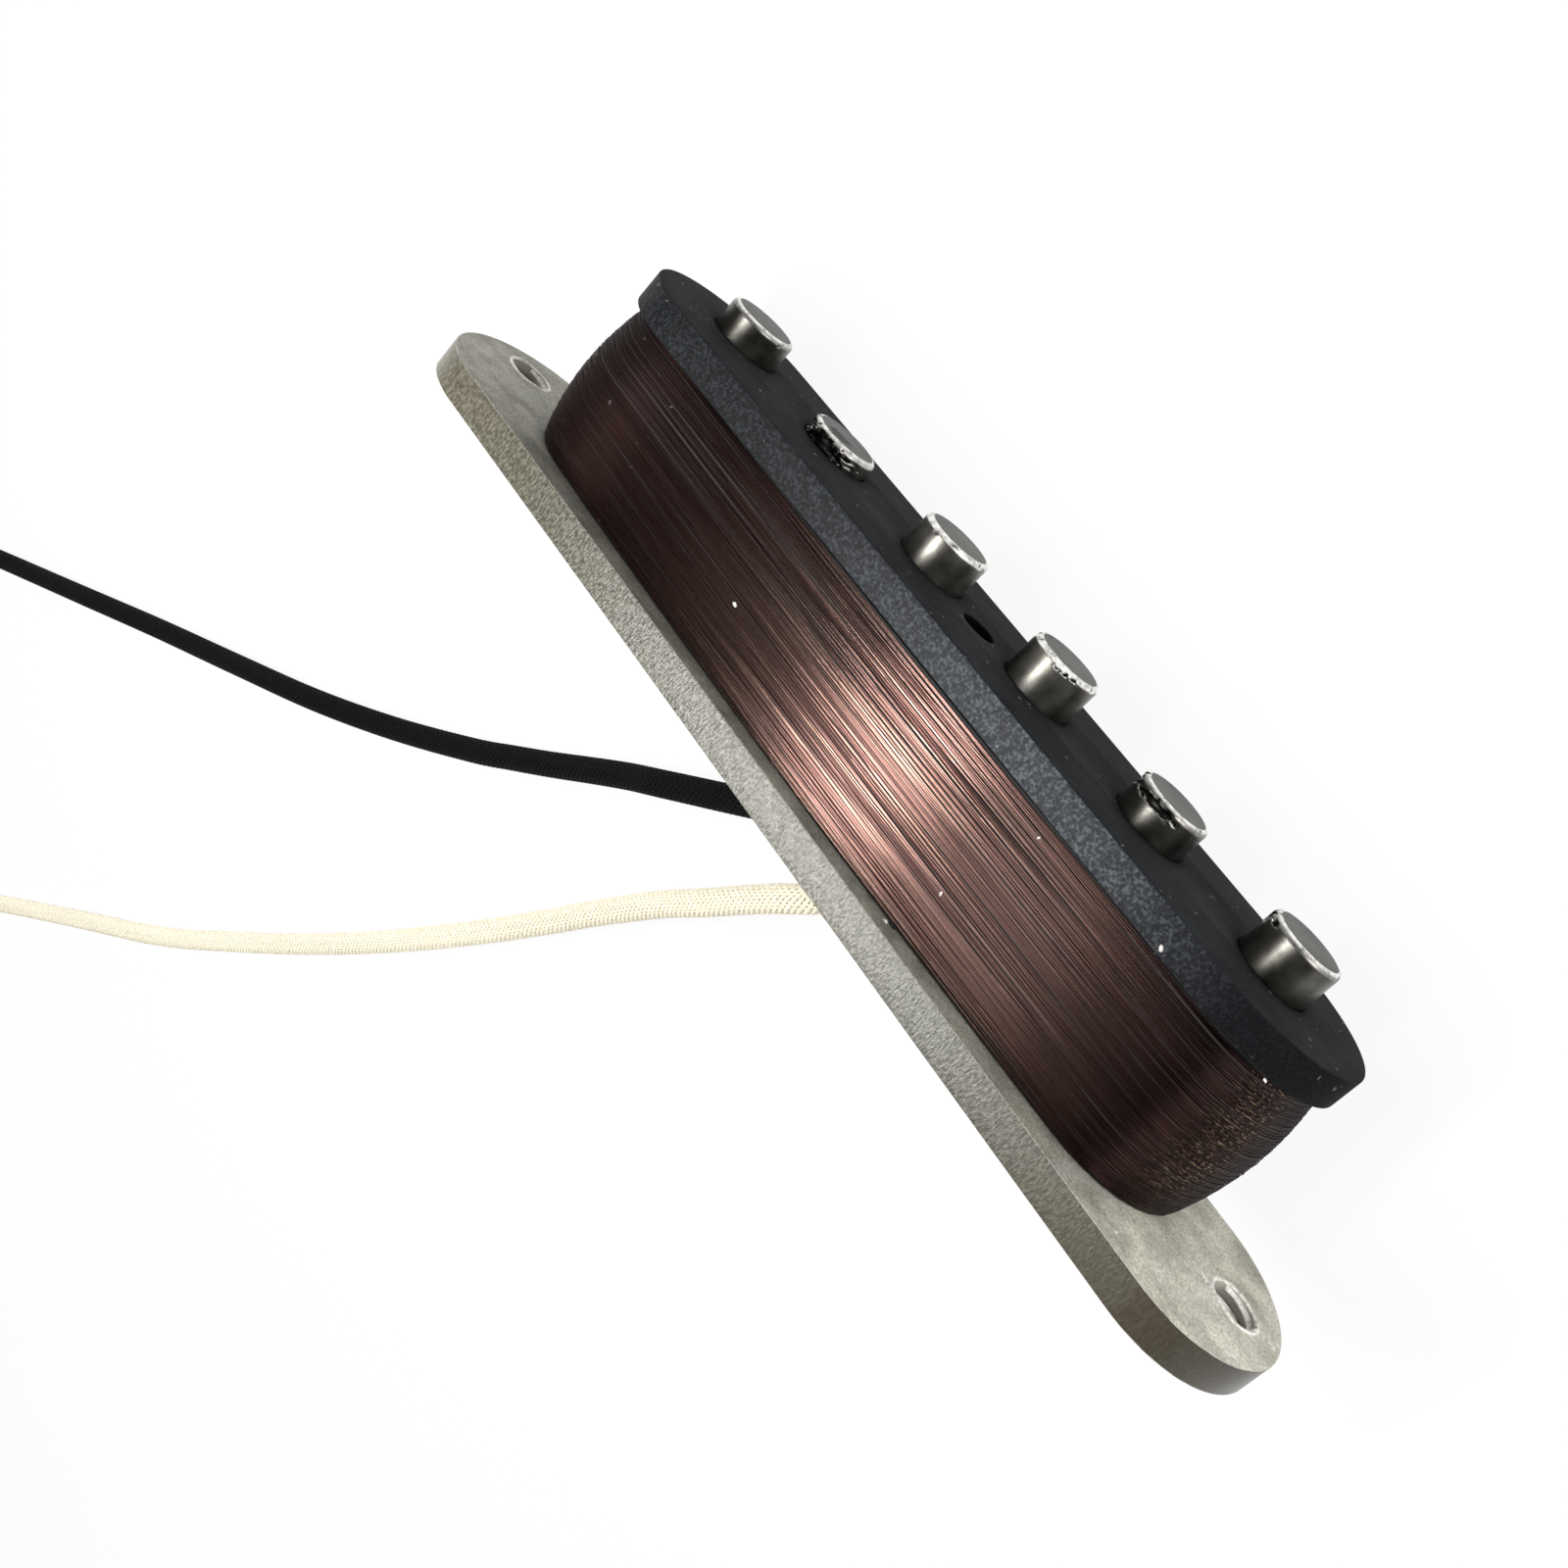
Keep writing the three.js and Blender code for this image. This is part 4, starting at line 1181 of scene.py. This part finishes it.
link(strand_tree, copies.outputs["Geometry"], kept.inputs["Geometry"])
link(strand_tree, outward, kept.inputs["Outward"])
offset = add_node(
    strand_tree, "ShaderNodeVectorMath", {0: outward, "Scale": reach}, operation="SCALE",
)
moved = add_node(
    strand_tree, "GeometryNodeSetPosition",
    {"Geometry": kept.outputs["Geometry"], "Offset": offset.outputs[0]},
)
steered = add_node(
    strand_tree, "GeometryNodeSetCurveNormal",
    {"Curve": moved.outputs[0], "Normal": kept.outputs["Outward"]}, mode="FREE",
)
circle = add_node(
    strand_tree, "GeometryNodeCurvePrimitiveCircle", {"Resolution": given["Sides"], "Radius": 0.5},
)
flat_scale = add_node(
    strand_tree, "ShaderNodeCombineXYZ", {"X": given["Thickness"], "Y": given["Width"], "Z": 1.0},
)
section = add_node(
    strand_tree, "GeometryNodeTransform",
    {"Geometry": circle.outputs[0], "Scale": flat_scale.outputs[0]},
)
strands = add_node(
    strand_tree, "GeometryNodeCurveToMesh",
    {"Curve": steered.outputs[0], "Profile Curve": section.outputs[0], "Fill Caps": True},
)
core_section = add_node(
    strand_tree, "GeometryNodeCurvePrimitiveCircle",
    {"Resolution": 10, "Radius": given["Core Radius"]},
)
core_step = add_math(strand_tree, "MULTIPLY", given["Step"], 4.0)
core_line = add_node(
    strand_tree, "GeometryNodeResampleCurve",
    {"Curve": line.outputs[0], "Length": core_step}, mode="LENGTH",
)
core = add_node(
    strand_tree, "GeometryNodeCurveToMesh",
    {"Curve": core_line.outputs[0], "Profile Curve": core_section.outputs[0], "Fill Caps": True},
)
joined = strand_tree.nodes.new("GeometryNodeJoinGeometry")
link(strand_tree, strands.outputs[0], joined.inputs[0])
link(strand_tree, core.outputs[0], joined.inputs[0])
smooth = add_node(strand_tree, "GeometryNodeSetShadeSmooth", {"Geometry": joined.outputs[0]})
real = add_node(strand_tree, "GeometryNodeRealizeInstances", {"Geometry": smooth.outputs[0]})
dressed = add_node(
    strand_tree, "GeometryNodeSetMaterial",
    {"Geometry": real.outputs[0], "Material": given["Material"]},
)
link(strand_tree, dressed.outputs[0], made.inputs["Geometry"])


def cloth(name, dark, middle, light, sheen):
    """Waxed cotton yarn: fine fibres along each yarn, a little uneven in colour."""
    material, tree, shader = new_material(name)
    coordinates = tree.nodes.new("ShaderNodeTexCoord").outputs["Object"]
    fuzz = add_noise(tree, coordinates, 6000.0, 3.0)
    colour = add_ramp(tree, fuzz, (0.3, dark), (0.5, middle), (0.7, light))
    link(tree, colour, shader.inputs["Base Color"])
    shader.inputs["Roughness"].default_value = 0.8
    shader.inputs["Specular IOR Level"].default_value = sheen
    add_bump(tree, shader, fuzz, 0.5, 0.00005)
    return material


black_cloth = cloth(
    "black_cotton", (0.001, 0.001, 0.001), (0.002, 0.002, 0.002), (0.005, 0.005, 0.006), 0.1,
)
cream_cloth = cloth(
    "cream_cotton", (0.74, 0.64, 0.45), (0.91, 0.84, 0.66), (0.97, 0.93, 0.81), 0.2,
)
tinned, tree, shader = new_material("tinned_copper")
cloud = add_noise(tree, own_frame(tree), 1800.0, 3.0)
colour = add_ramp(tree, cloud, (0.35, (0.42, 0.41, 0.38)), (0.65, (0.66, 0.65, 0.62)))
link(tree, colour, shader.inputs["Base Color"])
shader.inputs["Metallic"].default_value = 1.0
shader.inputs["Roughness"].default_value = 0.3

tie_width = 0.003
tie_thickness = 0.00025
tie_gap = 0.0002
tie_lap = 0.1
tie_steps = 96
tie_section = [(-1, -0.5), (-1, 0.2), (-0.96, 0.5), (0.96, 0.5), (1, 0.2), (1, -0.5)]

tie_paper, tree, shader = new_material("tie_paper")
pulp = add_noise(tree, own_frame(tree), 1800.0, 5.0)
colour = add_ramp(tree, pulp, (0.35, (0.27, 0.2, 0.13)), (0.65, (0.4, 0.31, 0.21)))
link(tree, colour, shader.inputs["Base Color"])
shader.inputs["Roughness"].default_value = 0.9
add_bump(tree, shader, pulp, 0.3, 0.00004)


def tie_mesh(name, centre, outer, first_angle):
    """A strip of paper once round both turns of the coil, with its end lapped on its start."""
    sheet = tie_thickness / 2
    half_span = (coil_turn_pitch + lead_diameter) / 2 + tie_gap
    half_height = lead_diameter / 2 + tie_gap
    straight = half_span - half_height
    quarter = math.pi * half_height / 2
    round_way = 4 * straight + 4 * quarter
    rings = []
    for step in range(tie_steps + 1):
        share = (1 + tie_lap) * step / tie_steps
        along = (share % 1) * round_way
        lapped = min(max((share - 1 + tie_lap / 2) / (tie_lap / 2), 0), 1)
        lift = sheet / 2 + sheet * lapped
        if along < 2 * straight:
            spot = Vector((straight - along, 0, half_height))
            out = Vector((0, 0, 1))
        elif along < 2 * straight + 2 * quarter:
            angle = math.pi / 2 + (along - 2 * straight) / half_height
            out = Vector((math.cos(angle), 0, math.sin(angle)))
            spot = Vector((-straight, 0, 0)) + out * half_height
        elif along < 4 * straight + 2 * quarter:
            spot = Vector((along - 3 * straight - 2 * quarter, 0, -half_height))
            out = Vector((0, 0, -1))
        else:
            angle = -math.pi / 2 + (along - 4 * straight - 2 * quarter) / half_height
            out = Vector((math.cos(angle), 0, math.sin(angle)))
            spot = Vector((straight, 0, 0)) + out * half_height
        ring = []
        for across, height in tie_section:
            place = spot + out * (lift + height * sheet)
            ring.append(place + Vector((0, across * tie_width / 2, 0)))
        rings.append(ring)
    angle = first_angle - math.pi / 2
    middle = outer - coil_turn_pitch * 3 / 4
    spot = centre + middle * Vector((math.cos(angle), math.sin(angle), 0))
    return skin_mesh(name, rings, False, Matrix.Translation(spot) @ Matrix.Rotation(angle, 4, "Z"))


def twisted_strands(name, points, turn_length, step):
    """Bare tinned strands twisted round one more along a line."""
    return grown_mesh(
        name, points, strand_tree, Radius=strand_ring, Strands=strand_count, Ways=1, Step=step,
        Width=strand_thickness, Thickness=strand_thickness, Wave=0.0, Sides=8, Material=tinned,
        **{"Turn Length": turn_length, "Core Radius": strand_core},
    )


for label, route, turns, material, slot in (
    ("black", black_route, black_turns, black_cloth, "black_cloth"),
    ("white", white_route, white_turns, cream_cloth, "cream_cloth"),
):
    coiled, centre, outer, first_angle, way = put_away(route, turns)
    path = [*smooth_line(route, route_steps), *coiled]
    end = path[-1]
    bare_points = [end + way * (joint_gap + bare_length * step / 4) for step in range(5)]
    bare = twisted_strands(f"{label}_bare_end", bare_points, 0.006, 0.0002)
    bare_end = new_piece(f"{label}_bare_end", bare, tinned, "tinned_strand", f"{label}_lead_end")
    tie = tie_mesh(f"{label}_paper_tie", centre, outer, first_angle)
    smooth_by_angle(tie, 40)
    tie = new_piece(f"{label}_paper_tie", tie, tie_paper, "tie_paper", f"{label}_lead_tie")
    braid = grown_mesh(
        f"{label}_braid", path, strand_tree, Radius=braid_radius, Strands=yarn_count, Ways=2,
        Step=braid_step, Width=yarn_width, Thickness=yarn_thickness, Wave=yarn_wave, Sides=4,
        Material=material, **{"Turn Length": braid_turn_length, "Core Radius": braid_core},
    )
    lead = new_piece(f"{label}_braid", braid, material, slot, f"{label}_lead", f"{label}_lead_coil")

# Conductors: the bare strands at the near end of each lead, twisted and pushed up through
# the solder of its eyelet.
conductor_start = -0.0019
conductor_length = 0.00355
conductor_steps = 6
for side, label in ((-1, "black"), (1, "white")):
    points = []
    for step in range(conductor_steps + 1):
        height = conductor_start + conductor_length * step / conductor_steps
        points.append((eyelet_place(side), eyelet_across, height))
    mesh = twisted_strands(f"{label}_strands", points, 0.005, 0.0001)
    mesh.transform(lie)
    new_piece(f"{label}_strands", mesh, tinned, "tinned_strand", f"{label}_conductor")

# Ends of the coil's wire: the finish comes off the outermost layer and the start from the
# innermost one, and each is led over the bottom flatwork and hooked into its eyelet.
end_wire_tone = 0.7
end_wire_steps = 12
end_wires = {
    "finish": [
        (0.012765, 0.0070375, 0.00295), (0.010199, 0.0073203, 0.00295),
        (0.0076325, 0.0081688, 0.00295), (0.0034, 0.0093, 0.00289), (0.00295, 0.0093, 0.00259),
    ],
    "start": [
        (-0.0079, 0.00732, 0.00257), (-0.0079, 0.00756, 0.00257), (-0.007, 0.00831, 0.00281),
        (-0.0059, 0.0093, 0.00289), (-0.00545, 0.0093, 0.00259),
    ],
}
for word, points in end_wires.items():
    line = smooth_line(points, end_wire_steps)
    mesh = grown_mesh(
        f"{word}_wire", line, wire_tree, {"tone": [end_wire_tone] * len(line)},
        Radius=wire_thickness / 2, Flatness=1.0, Sides=10, Material=enamel,
    )
    mesh.transform(lie)
    new_piece(f"{word}_wire", mesh, enamel, "coil_wire", f"coil_{word}_wire")

# Flecks: torn bits of fibre and lint that have stuck to the coil and both flatworks, most of
# them where the screw has torn the bass ear, and a crumb of black fibre at the coil's foot.
black_crumb = 9
flecks = [
    ((0.03656, -0.00133, 0.00238), 0.00011, 0.4), ((0.03699, -0.0014, 0.00238), 0.00009, 1.9),
    ((0.03623, -0.00115, 0.00238), 0.00006, 0.9), ((0.04016, -0.00012, 0.00238), 0.00013, 2.5),
    ((0.04052, 0.00035, 0.00238), 0.00012, 0.2), ((0.04093, 0.00052, 0.00238), 0.00009, 1.4),
    ((0.04138, 0.00061, 0.00238), 0.00007, 0.6), ((0.03233, -0.00751, 0.00238), 0.00007, 2.2),
    ((0.01192, -0.00719, 0.00243), 0.00016, 0.2), ((0.01156, -0.00755, 0.00239), 0.00009, 0.1),
    ((0.03089, -0.00562, 0.01316), 0.00007, 0.3),
    ((-0.00921, -0.00785, 0.00686), 0.0001, 0.3), ((0.01263, -0.00772, 0.00609), 0.00007, 1.2),
    ((0.01394, -0.00723, 0.01232), 0.00006, 2.1), ((0.02272, -0.00722, 0.01373), 0.00011, 0.8),
]
for number, (place, size, turn) in enumerate(flecks, 1):
    shape = bmesh.new()
    bmesh.ops.create_icosphere(shape, subdivisions=3, radius=1)
    for vert in shape.verts:
        rough = 1 + 0.6 * noise.noise(vert.co * 1.6 + Vector((number * 5, 0, 0)))
        vert.co = Vector((vert.co.x * 1.7, vert.co.y * 0.55, vert.co.z)) * size * rough
    mesh = bpy.data.meshes.new(f"fleck_{number}")
    shape.to_mesh(mesh)
    shape.free()
    mesh.transform(lie @ Matrix.Translation(place) @ Matrix.Rotation(turn, 4, "Y"))
    dressed = (black_fibre, "black_fibre") if number == black_crumb else (torn_fibre, "grey_fibre")
    new_piece(f"fleck_{number}", mesh, *dressed)

# Camera: above and beside the strings' face, looking back along the row of magnets.
camera_place = Vector((0.03941, 0.057271, 0.090015))
camera_look = Vector((-0.3787, -0.5895, -0.7134)).normalized()
camera_up = Vector((-0.7441, 0.6523, -0.144))
camera_right = camera_look.cross(camera_up).normalized()
camera_turn = Matrix((camera_right, camera_right.cross(camera_look), -camera_look)).transposed()
camera_data = bpy.data.cameras.new("camera")
camera_data.lens = 39.6
camera_data.sensor_width = 36
camera_data.clip_start = 0.005
camera = bpy.data.objects.new("camera", camera_data)
camera.matrix_world = Matrix.Translation(camera_place) @ camera_turn.to_4x4()
bpy.context.scene.collection.objects.link(camera)
bpy.context.scene.camera = camera

# Stage: a plain pale floor, a white surround and soft lamps.
floor_material, tree, shader = new_material("pale_floor")
shader.inputs["Base Color"].default_value = (0.85, 0.85, 0.85, 1)
shader.inputs["Roughness"].default_value = 0.9
rays = tree.nodes.new("ShaderNodeLightPath")
seen = add_math(tree, "MAXIMUM", rays.outputs["Is Camera Ray"], rays.outputs["Is Glossy Ray"])
seen = add_math(tree, "MAXIMUM", seen, rays.outputs["Is Transmission Ray"])
glow = add_node(tree, "ShaderNodeEmission", {"Color": (1, 1, 1, 1), "Strength": 1.0})
glow_share = add_math(tree, "MULTIPLY", seen, 0.92)
floor_mix = add_node(
    tree, "ShaderNodeMixShader", {0: glow_share, 1: shader.outputs[0], 2: glow.outputs[0]},
)
link(tree, floor_mix.outputs[0], tree.nodes["Material Output"].inputs["Surface"])
floor_reach = 3.0
floor_corners = [(-1, -1), (1, -1), (1, 1), (-1, 1)]
floor_mesh = bpy.data.meshes.new("floor")
floor_mesh.from_pydata(
    [(x * floor_reach, y * floor_reach, 0) for x, y in floor_corners], [], [(0, 1, 2, 3)],
)
floor_mesh.materials.append(floor_material)
floor = bpy.data.objects.new("floor", floor_mesh)
bpy.context.scene.collection.objects.link(floor)

world = bpy.data.worlds.new("surround")
bpy.context.scene.world = world
world.use_nodes = True
tree = world.node_tree
background = tree.nodes["Background"]
outlook = tree.nodes.new("ShaderNodeTexCoord").outputs["Generated"]
rise = add_node(tree, "ShaderNodeSeparateXYZ", {"Vector": outlook}).outputs["Z"]
link(tree, add_ramp(tree, rise, (0.2, 0.85), (0.55, 0.15)), background.inputs["Color"])
background.inputs["Strength"].default_value = 1.0


def soft_lamp(name, target, direction, distance, size, power):
    """A flat soft lamp that looks at a point from a direction, its long side across the row."""
    light = bpy.data.lights.new(name, "AREA")
    light.shape = "RECTANGLE"
    light.size, light.size_y = size
    light.energy = power
    back = direction.normalized()
    side = Vector((0, 1, 0)).cross(back).normalized()
    turn = Matrix((side, back.cross(side), back)).transposed().to_4x4()
    lamp = bpy.data.objects.new(name, light)
    lamp.matrix_world = Matrix.Translation(target + back * distance) @ turn
    bpy.context.scene.collection.objects.link(lamp)


soft_lamp(
    "strip", Vector((0.0098, 0.005, 0.016)), Vector((-0.36, 0.0, 0.93)), 0.3, (0.032, 0.25), 1.0,
)
soft_lamp(
    "side_strip", Vector((0.0175, 0.005, 0.016)), Vector((-0.2, 0.0, 0.98)), 0.3,
    (0.055, 0.25), 0.2,
)
soft_lamp(
    "fill", Vector((0.038, -0.005, 0.016)), Vector((0.62, 0.75, 0.25)), 0.16, (0.08, 0.08), 0.12,
)

bpy.context.scene.view_settings.view_transform = "Standard"
